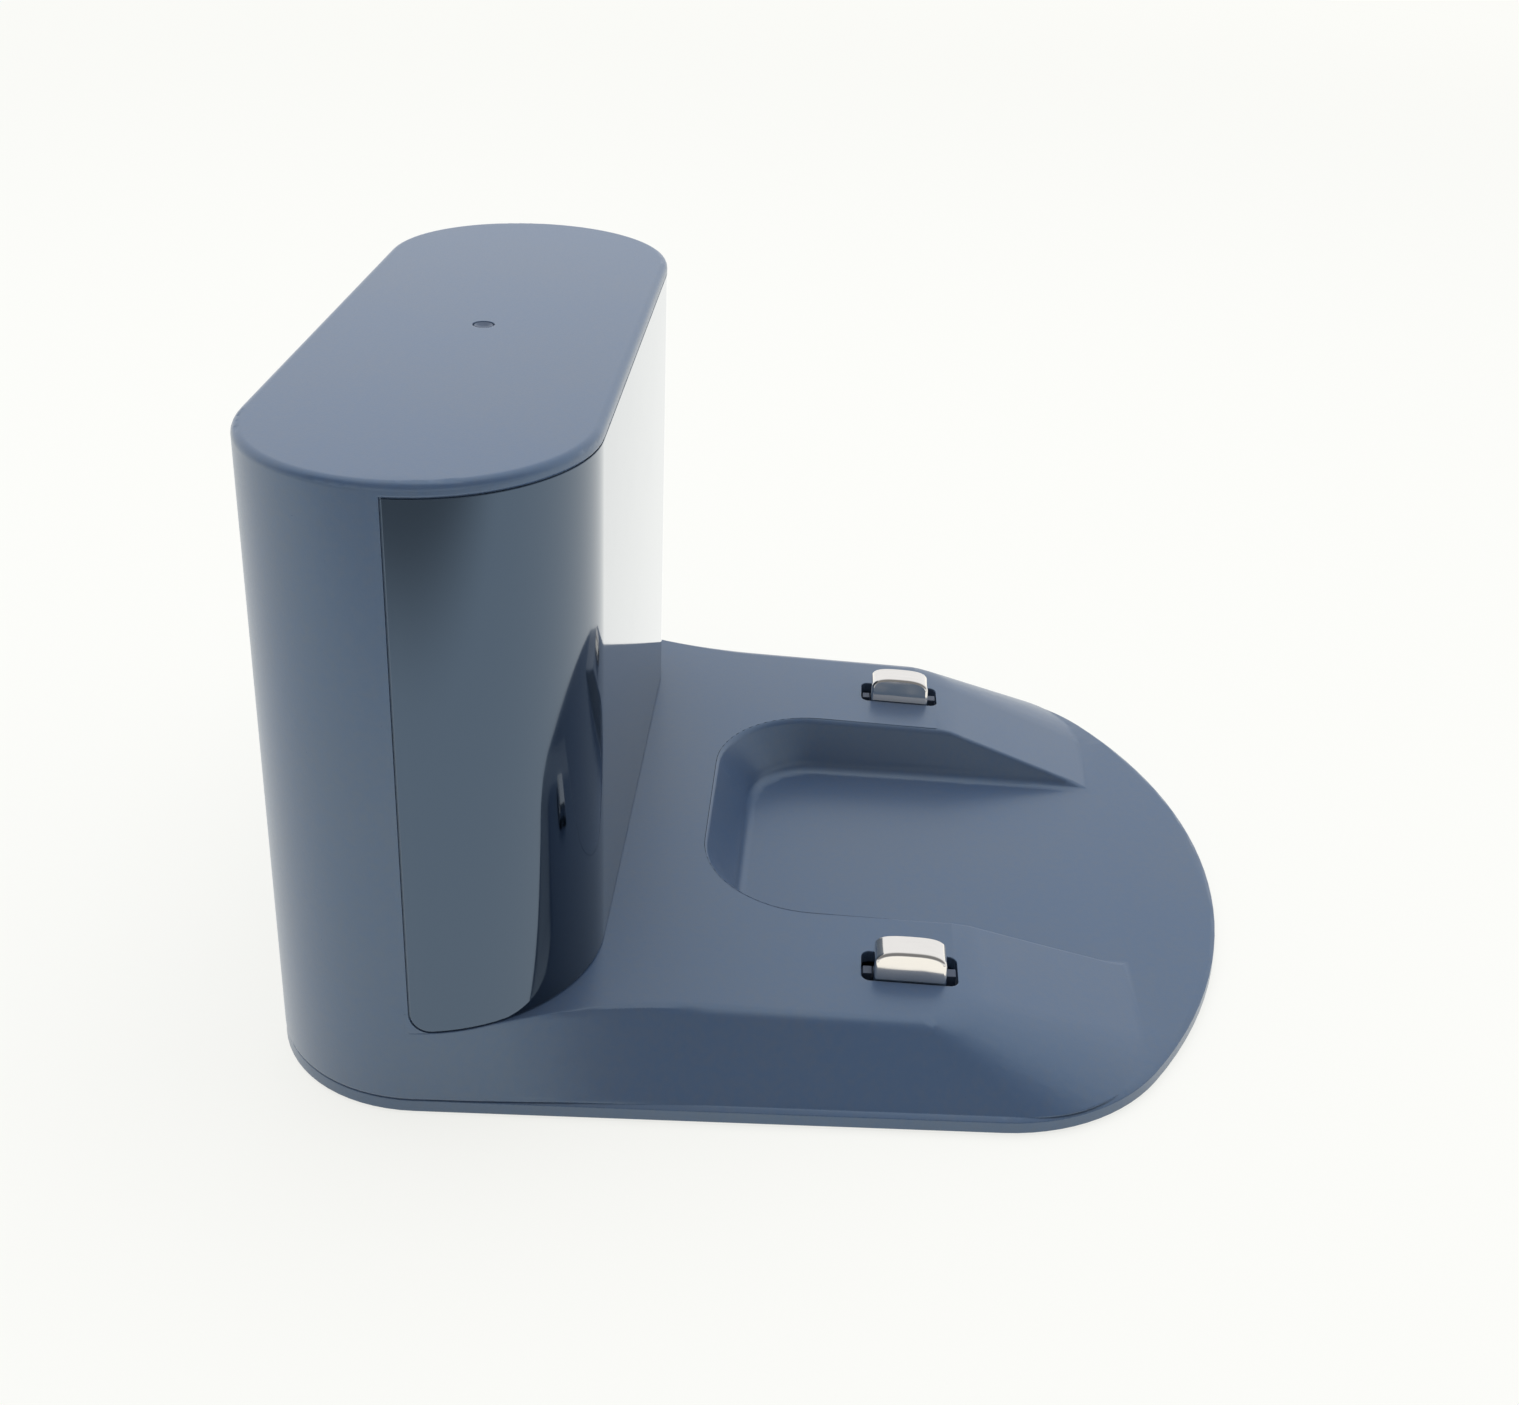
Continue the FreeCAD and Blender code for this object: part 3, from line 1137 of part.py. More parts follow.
def contact_terminal(side, sign, across, box):
    """The terminal plate under the spring, with a post and a tongue for its lead."""
    body = new_body(side + "_contact_terminal")
    square = box(level(body, side + "_terminal_plate", PLATE_TOP), "terminal_size", "terminal_size")
    pad(body, square, "terminal_sheet")
    tongue = level(body, side + "_terminal_tongue", PLATE_TOP)
    lead_x = f"{sign} * (contact_spacing / 2 - lead_inset)"
    rectangle(tongue, f"{lead_x} - 2 * lead_radius", f"{lead_x} + 2 * lead_radius", CONTACT_Y,
              f"{CONTACT_Y} + terminal_size / 2 + lead_overlap")
    pad(body, tongue, "terminal_sheet")
    post = level(body, side + "_terminal_post", TERMINAL_TOP)
    pad(body, circles(post, [(across, CONTACT_Y)], "post_radius"), "post_height")


def contact_spring(side, across):
    """The coil spring between the terminal and the carrier."""
    low = f"({TERMINAL_TOP} + 0.5 * spring_wire + 0.5 * fit_gap)"
    high = f"({CARRIER_LOW} + bore_depth - 0.5 * spring_wire - 0.5 * fit_gap)"
    body = new_body(side + "_contact_spring")
    wire = upright(body, side + "_spring_wire", CONTACT_Y)
    tie(wire, "AttachmentOffset.Base.x", across)
    tie(wire, "AttachmentOffset.Base.y", low)
    wire_section(wire, "spring_radius", "0 * spring_wire", "spring_wire / 2")
    coil = body.newObject("PartDesign::AdditiveHelix", side + "_spring_coil")
    coil.Profile = wire
    coil.ReferenceAxis = (wire, ["V_Axis"])
    coil.Mode = "pitch-height-angle"
    tie(coil, "Pitch", f"({high} - {low}) / spring_turns")
    tie(coil, "Height", f"{high} - {low}")
    DOC.recompute()


def contact(side, sign):
    """A sprung contact: plated cap, carrier, terminal and spring."""
    across = f"({sign} * contact_spacing / 2)"

    def box(sketch, width, length):
        return rectangle(sketch, f"{across} - {width} / 2", f"{across} + {width} / 2",
                         f"{CONTACT_Y} - {length} / 2", f"{CONTACT_Y} + {length} / 2")

    contact_cap(side, across, box)
    contact_carrier(side, across, box)
    contact_terminal(side, sign, across, box)
    contact_spring(side, across)


def lead(name, across, start, points, radius):
    """A lead that starts on a sketch and follows a path in an upright plane."""
    body = DOC.addObject("PartDesign::Body", name)
    path = outline(sideways(body, name + "_path", f"({across})"), points, closed=False)
    plane, height, place = start
    section = wire_section(new_sketch(body, name + "_section", plane, height), *place, radius)
    feature = body.newObject("PartDesign::AdditivePipe", name + "_run")
    feature.Profile = section
    feature.Spine = path
    DOC.recompute()
    return body


def leads():
    """Contact leads from the board to the terminals, and mains leads from the inlet to the board."""
    low = f"({TERMINAL_TOP} + lead_radius)"
    up_y = f"({BOARD_FRONT} - lead_radius - fit_gap)"
    first_y = f"({CONTACT_Y} + terminal_size / 2)"
    items = []
    for side, sign in (("left", -1), ("right", 1)):
        across = f"{sign} * (contact_spacing / 2 - lead_inset)"
        points = [(first_y, low), (f"{up_y} - lead_bend", low),
                  (up_y, f"{low} + lead_bend", "lead_bend", 1),
                  (up_y, "board_bottom + lead_overlap")]
        start = ("XZ_Plane", f"-{first_y}", (across, low))
        items.append(lead(side + "_contact_lead", across, start, points, "lead_radius"))
    together("contact_leads", items)
    items = []
    tail_y = f"({PIN_END} + 0.25 * pin_tail)"
    tail_z = "(inlet_height + pin_radius)"
    top = "(inlet_height + mains_rise + mains_radius + fit_gap)"
    for number, (across, up) in enumerate(pin_places()):
        points = [(tail_y, tail_z), (tail_y, f"{top} - mains_bend"),
                  (f"{tail_y} + mains_bend", top, "mains_bend", -1), (BOARD_FRONT, top)]
        start = ("XY_Plane", tail_z, (across, tail_y))
        items.append(lead("mains_lead_%d" % number, across, start, points, "mains_radius"))
    together("mains_leads", items)


def check_and_write():
    """Stops on any failed feature, then writes each piece."""
    DOC.recompute()
    failed = [item.Name for item in DOC.Objects if "Invalid" in item.State or "Error" in item.State]
    for item in PIECES:
        if item.Shape.isNull() or not item.Shape.isValid() or not item.Shape.Solids:
            failed.append(item.Label)
    if failed:
        raise RuntimeError("failed: " + ", ".join(failed))
    os.makedirs("parts", exist_ok=True)
    for item in PIECES:
        item.Shape.exportStep("parts/%s.step" % item.Label)


upper_housing()
front_cover()
bottom_cover()
rubber_feet()
cover_screws()
rear_lid()
mains_inlet()
inlet_pins()
main_board()
board_screws()
transformer()
can("bulk_capacitor", "bulk_radius", "bulk_length", "bulk_x", "bulk_z")
can("output_capacitor", "output_radius", "output_length", "output_x", "output_z")
safety_capacitor()
line_fuse()
heat_sink()
beacon()
status_light()
contact("left", -1)
contact("right", 1)
leads()
check_and_write()
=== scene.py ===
"""Dresses the charging dock: satin slate housing, polished cover, plated contacts and the charger inside."""
import math

import bmesh
import bpy
from mathutils import Matrix, Vector


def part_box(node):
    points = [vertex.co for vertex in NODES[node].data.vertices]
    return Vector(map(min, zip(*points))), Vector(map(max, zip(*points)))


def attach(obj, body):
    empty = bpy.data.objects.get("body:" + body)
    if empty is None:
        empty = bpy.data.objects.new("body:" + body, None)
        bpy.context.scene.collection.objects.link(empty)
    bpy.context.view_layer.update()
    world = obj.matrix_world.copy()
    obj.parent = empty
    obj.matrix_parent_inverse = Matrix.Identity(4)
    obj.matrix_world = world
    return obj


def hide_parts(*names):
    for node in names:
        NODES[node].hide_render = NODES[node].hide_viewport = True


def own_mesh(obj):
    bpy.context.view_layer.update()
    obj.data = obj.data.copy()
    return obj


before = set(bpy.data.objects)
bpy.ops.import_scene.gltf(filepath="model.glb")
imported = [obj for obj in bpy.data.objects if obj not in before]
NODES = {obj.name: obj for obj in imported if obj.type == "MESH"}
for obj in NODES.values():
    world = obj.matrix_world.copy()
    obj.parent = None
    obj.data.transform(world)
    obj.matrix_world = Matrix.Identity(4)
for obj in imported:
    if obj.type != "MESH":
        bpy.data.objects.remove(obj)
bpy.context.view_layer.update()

bl_info = {
    "name": "Charging dock",
    "version": (1, 0, 0),
    "blender": (4, 5, 0),
    "location": "View3D > Sidebar > Dock",
    "description": "Builds the looks of a robot vacuum's charging dock",
    "category": "Object",
}

ORIGIN = Vector((0, 0, 0))
UP = Matrix.Identity(3)
DOWN = Matrix.Rotation(math.pi, 3, "X")
TO_NOSE = Matrix.Rotation(math.pi / 2, 3, "X")
TO_REAR = Matrix.Rotation(-math.pi / 2, 3, "X")
NEAR = 1e-6


def srgb(red, green, blue):
    """A colour from its 0 to 255 values on screen."""
    def linear(level):
        level = level / 255.0
        return level / 12.92 if level <= 0.04045 else ((level + 0.055) / 1.055) ** 2.4
    return (linear(red), linear(green), linear(blue), 1.0)


def paler(colour, factor, lift):
    """A lighter tone of a colour."""
    return tuple(min(1.0, part * factor + lift) for part in colour[:3]) + (1.0,)


def colour_setting(name, text, value):
    """A colour that a user can change."""
    return bpy.props.FloatVectorProperty(name=name, description=text, subtype="COLOR", size=4,
                                         min=0, max=1, default=value)


def length_setting(name, text, value):
    """A length in metres that a user can change."""
    return bpy.props.FloatProperty(name=name, description=text, unit="LENGTH", precision=5, default=value)


class DockColours(bpy.types.PropertyGroup):
    """Colours of the outer pieces."""

    slate: colour_setting("Slate", "Satin plastic of the housing", srgb(70, 90, 119))
    polished: colour_setting("Polished", "Dark polished plastic of the front cover", srgb(6, 9, 13))
    nickel: colour_setting("Nickel", "Plating of the contacts", srgb(226, 221, 214))
    backdrop: colour_setting("Backdrop", "Floor and background", srgb(252, 252, 248))


class DockSizes(bpy.types.PropertyGroup):
    """Sizes of the detail."""

    grain: length_setting("Grain", "Size of the moulded grain", 0.00035)
    edge: length_setting("Edge", "Softness of moulded edges", 0.0003)
    cap_rise: length_setting("Cap rise", "Contact caps above the deck", 0.0045)
    cap_top: length_setting("Cap top", "Contact caps across, at the top", 0.0046)
    cap_round: length_setting("Cap round", "Height of the rounded ends of the contact caps", 0.0026)
    cap_sheet: length_setting("Cap sheet", "Sheet of the contact caps", 0.0004)
    cap_bend: length_setting("Cap bend", "Rounding of the bends in the contact caps", 0.0005)
    deck_fall: bpy.props.FloatProperty(
        name="Deck fall", description="Slope of the deck towards the nose", subtype="ANGLE",
        default=math.radians(2.2))
    seam: length_setting("Seam", "Gap round the front cover", 0.0003)
    lip: length_setting("Lip", "Depth of the lip behind the cover's seam", 0.0003)
    seam_corner: length_setting("Seam corner", "Rounded lower corners of the front cover", 0.003)
    rim: length_setting("Rim", "Rounding of the recess rim", 0.0006)
    toe: length_setting("Toe", "Height at which the rounding of the ramps ends", 0.0032)
    ramp_foot: length_setting("Ramp foot", "Nose to the foot of the ramps", 0.018)
    ramp_head: length_setting("Ramp head", "Nose to the ridge of the ramps", 0.0474)
    ramp_blend: length_setting("Ramp blend", "Reach of the soft bends at both ends of the ramps", 0.005)
    spring_wire: length_setting("Spring wire", "Wire of the contact springs", 0.0005)
    recess: length_setting("Screw recess", "Cross recess in the screw heads, across", 0.0026)


class Nodes:
    """A node tree that is put together node by node."""

    def __init__(self, tree):
        self.tree = tree
        tree.nodes.clear()

    def add(self, kind, **inputs):
        """A node with its inputs set to values or joined to other nodes' outputs."""
        node = self.tree.nodes.new(kind)
        for key, item in inputs.items():
            self.plug(node.inputs[key.replace("_", " ")], item)
        return node

    def plug(self, socket, item):
        """Joins an output to an input, or sets its value."""
        if isinstance(item, bpy.types.NodeSocket):
            self.tree.links.new(item, socket)
        else:
            socket.default_value = item

    def math(self, operation, first, second):
        """A sum, product or the like of two values."""
        node = self.add("ShaderNodeMath")
        node.operation = operation
        self.plug(node.inputs[0], first)
        self.plug(node.inputs[1], second)
        return node.outputs[0]

    def between(self, value, low, high, start=0.0, end=1.0, way="LINEAR"):
        """Maps start to end onto low to high."""
        node = self.add("ShaderNodeMapRange", Value=value, From_Min=start, From_Max=end,
                        To_Min=low, To_Max=high)
        node.interpolation_type = way
        return node.outputs["Result"]

    def ramp(self, value, start, end, low, high):
        """Goes smoothly from low at the start to high at the end."""
        return self.between(value, low, high, start, end, "SMOOTHSTEP")

    def ray(self, *kinds):
        """1 for rays of the given kinds, 0 for all others."""
        path = self.add("ShaderNodeLightPath")
        total = path.outputs[kinds[0]]
        for other in kinds[1:]:
            total = self.math("MAXIMUM", total, path.outputs[other])
        return total

    def mixed(self, factor, first, second):
        """The output of one shader where the factor is 0 and of another where it is 1."""
        node = self.add("ShaderNodeMixShader", Fac=factor)
        self.plug(node.inputs[1], first.outputs[0])
        self.plug(node.inputs[2], second.outputs[0])
        return node.outputs[0]


class Shader(Nodes):
    """A material on object coordinates."""

    def __init__(self, name):
        self.material = bpy.data.materials.new(name)
        self.material.use_nodes = True
        super().__init__(self.material.node_tree)
        self.output = self.add("ShaderNodeOutputMaterial")
        self.coords = self.add("ShaderNodeTexCoord").outputs["Object"]

    def noise(self, scale, detail=2.0, roughness=0.5, stretch=None):
        """Noise between 0 and 1; scale is per metre."""
        vector = self.coords
        if stretch:
            vector = self.add("ShaderNodeMapping", Vector=vector, Scale=stretch).outputs["Vector"]
        node = self.add("ShaderNodeTexNoise", Vector=vector, Scale=scale, Detail=detail, Roughness=roughness)
        return node.outputs["Fac"]

    def blend(self, factor, first, second):
        """Goes from one colour to another."""
        node = self.add("ShaderNodeMix")
        node.data_type = "RGBA"
        self.plug(node.inputs[0], factor)
        self.plug(node.inputs[6], first)
        self.plug(node.inputs[7], second)
        return node.outputs[2]

    def shaded(self, colour, factor, share):
        """A colour made lighter and darker by a share of itself."""
        level = self.between(factor, 1 - share, 1 + share)
        return self.add("ShaderNodeHueSaturation", Color=colour, Value=level).outputs["Color"]

    def bump(self, height, distance, strength=1.0, normal=None):
        """A bumped normal."""
        node = self.add("ShaderNodeBump", Height=height, Strength=strength, Distance=distance)
        if normal is not None:
            self.plug(node.inputs["Normal"], normal)
        return node.outputs["Normal"]

    def soft_edge(self, radius):
        """The normal, rounded over at edges."""
        node = self.add("ShaderNodeBevel", Radius=radius)
        node.samples = 8
        return node.outputs["Normal"]

    def edges(self, rounded):
        """1 along edges, 0 on open faces, from a rounded normal."""
        node = self.add("ShaderNodeVectorMath")
        node.operation = "DOT_PRODUCT"
        self.plug(node.inputs[0], rounded)
        self.plug(node.inputs[1], self.add("ShaderNodeNewGeometry").outputs["Normal"])
        return self.between(node.outputs["Value"], 1.0, 0.0, 0.86, 0.995)

    def surface(self, **inputs):
        """Ends the material with a surface."""
        node = self.add("ShaderNodeBsdfPrincipled", **inputs)
        self.plug(self.output.inputs["Surface"], node.outputs["BSDF"])
        return self.material


def moulded(name, colour, roughness, grain, edge, depth=0.00002, index=1.5, tint=(1, 1, 1, 1)):
    """Satin moulded plastic: an eroded grain, faint clouds of tone, and edges painted paler as a painted
    highlight, which handling has also made less rough.
    """
    shader = Shader(name)
    fine = shader.noise(1.0 / grain, 3.0, 0.6)
    wide_clouds = shader.math("MULTIPLY", shader.noise(24.0, 4.0, 0.6), 0.6)
    small_clouds = shader.math("MULTIPLY", shader.noise(0.3 / grain, 2.0, 0.5), 0.4)
    cloud = shader.math("ADD", wide_clouds, small_clouds)
    rounded = shader.soft_edge(edge)
    edge_wear_and_highlight = shader.edges(rounded)
    greyer = tuple(0.78 * part + 0.22 * colour[1] for part in colour[:3]) + (1.0,)
    clouded = shader.blend(shader.between(cloud, 0.0, 1.0, 0.4, 0.6), colour, greyer)
    toned = shader.shaded(clouded, cloud, 0.10)
    # Painted highlight: edges are painted paler; the lower roughness there is polish from handling.
    colour_with_painted_edge_highlight = shader.blend(shader.math("MULTIPLY", edge_wear_and_highlight, 0.35), toned, paler(colour, 1.35, 0.01))
    rough = shader.between(fine, roughness - 0.05, roughness + 0.05)
    return shader.surface(
        Base_Color=colour_with_painted_edge_highlight, Roughness=shader.math("SUBTRACT", rough, shader.math("MULTIPLY", edge_wear_and_highlight, 0.08)),
        IOR=index, Specular_Tint=tint, Normal=shader.bump(fine, depth, 0.6, rounded))


def slate_satin(name, look, sizes, edge):
    """The housing's own plastic, whose gloss is a little blue."""
    return moulded(name, look.slate, 0.30, sizes.grain, edge, index=1.68, tint=(0.80, 0.95, 1.0, 1.0))


def polished(name, colour, edge, tint):
    """Polished plastic: a clear, very slightly wavy gloss over a dark body, with a few rubbed patches."""
    shader = Shader(name)
    wave = shader.noise(18.0, 1.0, 0.4)
    rubbed = shader.between(shader.noise(55.0, 3.0, 0.6), 0.0, 0.05, 0.45, 0.75)
    speck = shader.between(shader.noise(2200.0, 2.0, 0.6), 0.035, 0.065)
    normal = shader.bump(wave, 0.00012, 0.10, shader.soft_edge(edge))
    return shader.surface(
        Base_Color=shader.shaded(colour, wave, 0.05), Roughness=shader.math("ADD", speck, rubbed),
        IOR=1.7, Specular_IOR_Level=0.85, Specular_Tint=tint, Coat_Weight=0.5, Coat_Roughness=0.03,
        Normal=normal, Coat_Normal=normal)


def metal(name, colour, roughness, stretch, edge, lines=1400.0):
    """Plated or drawn metal with fine lines along one direction and brighter edges."""
    shader = Shader(name)
    drawn = shader.noise(lines, 2.0, 0.5, stretch)
    rounded = shader.soft_edge(edge)
    bright = shader.math("ADD", drawn, shader.math("MULTIPLY", shader.edges(rounded), 0.5))
    return shader.surface(
        Base_Color=shader.shaded(colour, bright, 0.05), Metallic=1.0,
        Roughness=shader.between(drawn, roughness * 0.7, roughness * 1.3),
        Normal=shader.bump(drawn, 0.000006, 0.4, rounded))


def plated(name, colour):
    """Bright plating on bent sheet: slightly wavy, rubbed in fine lines along the robot's way in."""
    shader = Shader(name)
    wave = shader.noise(300.0, 0.0, 0.4)
    rubbed = shader.noise(1500.0, 2.0, 0.6, (1.0, 0.06, 1.0))
    return shader.surface(
        Base_Color=shader.shaded(colour, rubbed, 0.04), Metallic=1.0,
        Roughness=shader.between(rubbed, 0.05, 0.12),
        Normal=shader.bump(wave, 0.0001, 0.3, shader.bump(rubbed, 0.000004, 0.3)))


def rubber(name, colour):
    """Matt rubber with a pebbled skin and pale dust in its pores."""
    shader = Shader(name)
    pebble = shader.noise(2600.0, 3.0, 0.7)
    dust = shader.between(shader.noise(300.0, 3.0, 0.6), 0.0, 0.25, 0.5, 0.8)
    return shader.surface(
        Base_Color=shader.blend(dust, colour, paler(colour, 1.0, 0.06)), Specular_IOR_Level=0.3,
        Roughness=shader.between(pebble, 0.65, 0.85), Normal=shader.bump(pebble, 0.00004, 0.6))


def lens(name, colour, roughness=0.08):
    """Tinted clear plastic that is cloudy inside."""
    shader = Shader(name)
    haze = shader.noise(700.0, 3.0, 0.5)
    return shader.surface(
        Base_Color=shader.shaded(colour, haze, 0.15), IOR=1.5, Transmission_Weight=0.35,
        Roughness=shader.between(haze, roughness, roughness + 0.1), Normal=shader.bump(haze, 0.00001, 0.3))


def laminate(name, mask, track):
    """A circuit board: solder mask over raised copper tracks, with a woven base showing faintly."""
    shader = Shader(name)
    face_on = shader.add("ShaderNodeMapping", Vector=shader.coords, Rotation=(math.pi / 2, 0, 0))
    routes = shader.add("ShaderNodeTexBrick", Vector=face_on.outputs["Vector"], Scale=100.0, Mortar_Size=0.06,
                        Mortar_Smooth=0.1, Brick_Width=1.3, Row_Height=0.45)
    routes.offset = 0.37
    routes.squash = 0.45
    routes.squash_frequency = 3
    tracks = routes.outputs["Fac"]
    weave = shader.noise(1500.0, 1.0, 0.5, (1.0, 1.0, 0.3))
    return shader.surface(
        Base_Color=shader.blend(tracks, shader.shaded(mask, weave, 0.12), track),
        Roughness=shader.between(weave, 0.28, 0.42), Normal=shader.bump(tracks, 0.00004, 0.7))


def sintered(name, colour):
    """Pressed ferrite or moulded epoxy: a dry dark skin with pits and chipped, paler edges."""
    shader = Shader(name)
    pits = shader.noise(3200.0, 4.0, 0.7)
    rounded = shader.soft_edge(0.0002)
    pitted = shader.shaded(colour, pits, 0.2)
    return shader.surface(
        Base_Color=shader.blend(shader.edges(rounded), pitted, paler(colour, 1.8, 0.02)),
        Roughness=shader.between(pits, 0.5, 0.75), Normal=shader.bump(pits, 0.00003, 0.6, rounded))


def sleeved(name, colour, stripe, stretch, scale):
    """A shrink sleeve or wrapped tape: soft gloss with a band of another tone round it."""
    shader = Shader(name)
    along = shader.add("ShaderNodeMapping", Vector=shader.coords, Scale=stretch)
    bands = shader.add("ShaderNodeTexWave", Vector=along.outputs["Vector"], Scale=scale, Distortion=0.3)
    bands.bands_direction = "DIAGONAL"
    mark = shader.between(bands.outputs["Fac"], 0.0, 1.0, 0.78, 0.84)
    crease = shader.noise(420.0, 3.0, 0.6)
    return shader.surface(
        Base_Color=shader.blend(mark, shader.shaded(colour, crease, 0.08), stripe),
        Roughness=shader.between(crease, 0.28, 0.45), Normal=shader.bump(crease, 0.00005, 0.4))


def insulated(name, colour):
    """Wire insulation: smooth, with drawn lines and faint scuffs."""
    shader = Shader(name)
    drawn = shader.noise(900.0, 2.0, 0.5, (1.0, 0.1, 0.1))
    return shader.surface(
        Base_Color=shader.shaded(colour, drawn, 0.1), Specular_IOR_Level=0.4,
        Roughness=shader.between(drawn, 0.35, 0.55), Normal=shader.bump(drawn, 0.00002, 0.5))


def corners(node):
    """The lowest and the highest corner of a CAD node."""
    low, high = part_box(node)
    return Vector(low), Vector(high)


def dress(node, material):
    """Gives a CAD node its material."""
    slots = NODES[node].data.materials
    slots.clear()
    slots.append(material)


def place_piece(obj, node, body):
    """Hides the CAD node that a piece stands for, and hangs the piece on the body that carries it."""
    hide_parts(node)
    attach(obj, body)


def new_piece(name, mesh, *materials):
    """An object at the origin from a finished mesh."""
    for material in materials:
        mesh.materials.append(material)
    obj = bpy.data.objects.new(name, mesh)
    bpy.context.scene.collection.objects.link(obj)
    return obj


def flat_faces(obj):
    """Keeps flat faces flat beside rounded edges."""
    weights = obj.modifiers.new("flat_faces_stay_flat", "WEIGHTED_NORMAL")
    weights.keep_sharp = True


def keep_result(obj):
    """Gives an object the mesh that its modifiers make, and removes them."""
    bpy.context.view_layer.update()
    mesh = bpy.data.meshes.new_from_object(obj.evaluated_get(bpy.context.evaluated_depsgraph_get()))
    obj.modifiers.clear()
    obj.data = mesh


def smooth_mesh(work, mesh, angle=32.0):
    """Writes a mesh with smooth faces and sharp edges past an angle."""
    for face in work.faces:
        face.smooth = True
    for edge in work.edges:
        edge.smooth = edge.is_manifold and edge.calc_face_angle(0.0) < math.radians(angle)
    work.to_mesh(mesh)
    work.free()


def cut_loop(work, place, direction):
    """Edges all round where a plane meets the mesh."""
    everything = work.verts[:] + work.edges[:] + work.faces[:]
    bmesh.ops.bisect_plane(work, geom=everything, dist=NEAR, plane_co=place, plane_no=direction)


def skin(node, name, rims=None, rounding=0.0, toe=0.0, cuts=()):
    """A merged, smoothly shaded mesh on a CAD node's own form, with chosen edges above a toe rounded.

    Cuts across Y on both sides of a bend keep its soft shading between them.
    """
    mesh = NODES[node].data.copy()
    mesh.name = name
    if "custom_normal" in mesh.attributes:
        mesh.attributes.remove(mesh.attributes["custom_normal"])
    mesh.materials.clear()
    work = bmesh.new()
    work.from_mesh(mesh)
    bmesh.ops.remove_doubles(work, verts=work.verts, dist=2 * NEAR)
    bmesh.ops.dissolve_degenerate(work, dist=NEAR, edges=work.edges)
    for face in work.faces:
        face.material_index = 0
    if rims:
        level = math.radians(0.3)
        bmesh.ops.dissolve_limit(work, angle_limit=level, verts=work.verts, edges=work.edges)
        cut_loop(work, (0, 0, toe), (0, 0, 1))
        chosen = [edge for edge in work.edges if len(edge.link_faces) == 2 and rims(edge)
                  and min(vert.co.z for vert in edge.verts) > toe - NEAR]
        bmesh.ops.bevel(work, geom=chosen, offset=rounding, segments=3, profile=0.5, affect="EDGES")
        for along in cuts:
            cut_loop(work, (0, along, 0), (0, 1, 0))
        bmesh.ops.triangulate(work, faces=work.faces)
    smooth_mesh(work, mesh)
    return mesh


def quarter(centre_r, centre_h, radius, start, steps=6):
    """A quarter round in a profile of (radius, height), from an angle in degrees, turning left."""
    turns = [math.radians(start + 90.0 * step / steps) for step in range(steps + 1)]
    return [(centre_r + radius * math.cos(turn), centre_h + radius * math.sin(turn)) for turn in turns]


def turned(name, profile, turns, steps=48, bands=None):
    """A mesh spun from a profile of (radius, height), once for each (place, rotation)."""
    work = bmesh.new()
    for place, rotation in turns:
        rings = []
        for radius, height in profile:
            count = steps if radius > 0.1 * NEAR else 1
            ring = []
            for step in range(count):
                around = 2 * math.pi * step / steps
                spot = Vector((radius * math.cos(around), radius * math.sin(around), height))
                ring.append(work.verts.new(place + rotation @ spot))
            rings.append(ring)
        for number, (low, high) in enumerate(zip(rings, rings[1:])):
            for step in range(steps):
                face_corners = []
                for ring, shift in ((low, 0), (low, 1), (high, 1), (high, 0)):
                    vert = ring[(step + shift) % len(ring)]
                    if vert not in face_corners:
                        face_corners.append(vert)
                if len(face_corners) > 2:
                    face = work.faces.new(face_corners)
                    face.material_index = bands[number] if bands else 0
    bmesh.ops.recalc_face_normals(work, faces=work.faces)
    mesh = bpy.data.meshes.new(name)
    smooth_mesh(work, mesh)
    return mesh


class Layout(Nodes):
    """Geometry nodes with named inputs, which end by making instances real and setting the finish."""

    def __init__(self, name, **kinds):
        super().__init__(bpy.data.node_groups.new(name, "GeometryNodeTree"))
        interface = self.tree.interface
        self.sockets = {}
        for label, kind in kinds.items():
            socket = interface.new_socket(label, in_out="INPUT", socket_type="NodeSocket" + kind)
            self.sockets[label] = socket.identifier
        interface.new_socket("Geometry", in_out="OUTPUT", socket_type="NodeSocketGeometry")
        self.given = self.add("NodeGroupInput").outputs

    def end(self, geometry):
        """Makes instances real, sets the finish and hands the geometry out."""
        real = self.add("GeometryNodeRealizeInstances", Geometry=geometry).outputs["Geometry"]
        finish = self.add("GeometryNodeSetMaterial", Geometry=real, Material=self.given["Finish"])
        self.add("NodeGroupOutput", Geometry=finish.outputs["Geometry"])

    def run(self, obj, **values):
        """Gives an object the mesh that the nodes make from these values."""
        modifier = obj.modifiers.new("layout", "NODES")
        modifier.node_group = self.tree
        for label, value in values.items():
            modifier[self.sockets[label]] = value
        keep_result(obj)


def repeat_layout(name):
    """Nodes that set a piece on each point, turned by chance about an axis."""
    layout = Layout(name, Points="Geometry", Piece="Object", Axis="Vector", Turn="Float", Seed="Int",
                    Finish="Material")
    given = layout.given
    chance = layout.add("FunctionNodeRandomValue", Seed=given["Seed"])
    chance.data_type = "FLOAT"
    layout.plug(chance.inputs[3], given["Turn"])
    turn = layout.add("FunctionNodeAxisAngleToRotation", Axis=given["Axis"], Angle=chance.outputs[1])
    piece = layout.add("GeometryNodeObjectInfo", Object=given["Piece"]).outputs["Geometry"]
    spread = layout.add("GeometryNodeInstanceOnPoints", Points=given["Points"], Instance=piece,
                        Rotation=turn.outputs["Rotation"])
    layout.end(spread.outputs["Instances"])
    return layout


def repeated(name, pattern, places, axis, seed, material):
    """One piece of like parts at several places, each turned by up to half a turn."""
    points = bpy.data.meshes.new(name)
    points.from_pydata([tuple(place) for place in places], [], [])
    obj = new_piece(name, points)
    layout = repeat_layout(name + "_layout")
    layout.run(obj, Piece=pattern, Axis=axis, Turn=math.pi, Seed=seed, Finish=material)
    bpy.data.objects.remove(pattern)
    return obj


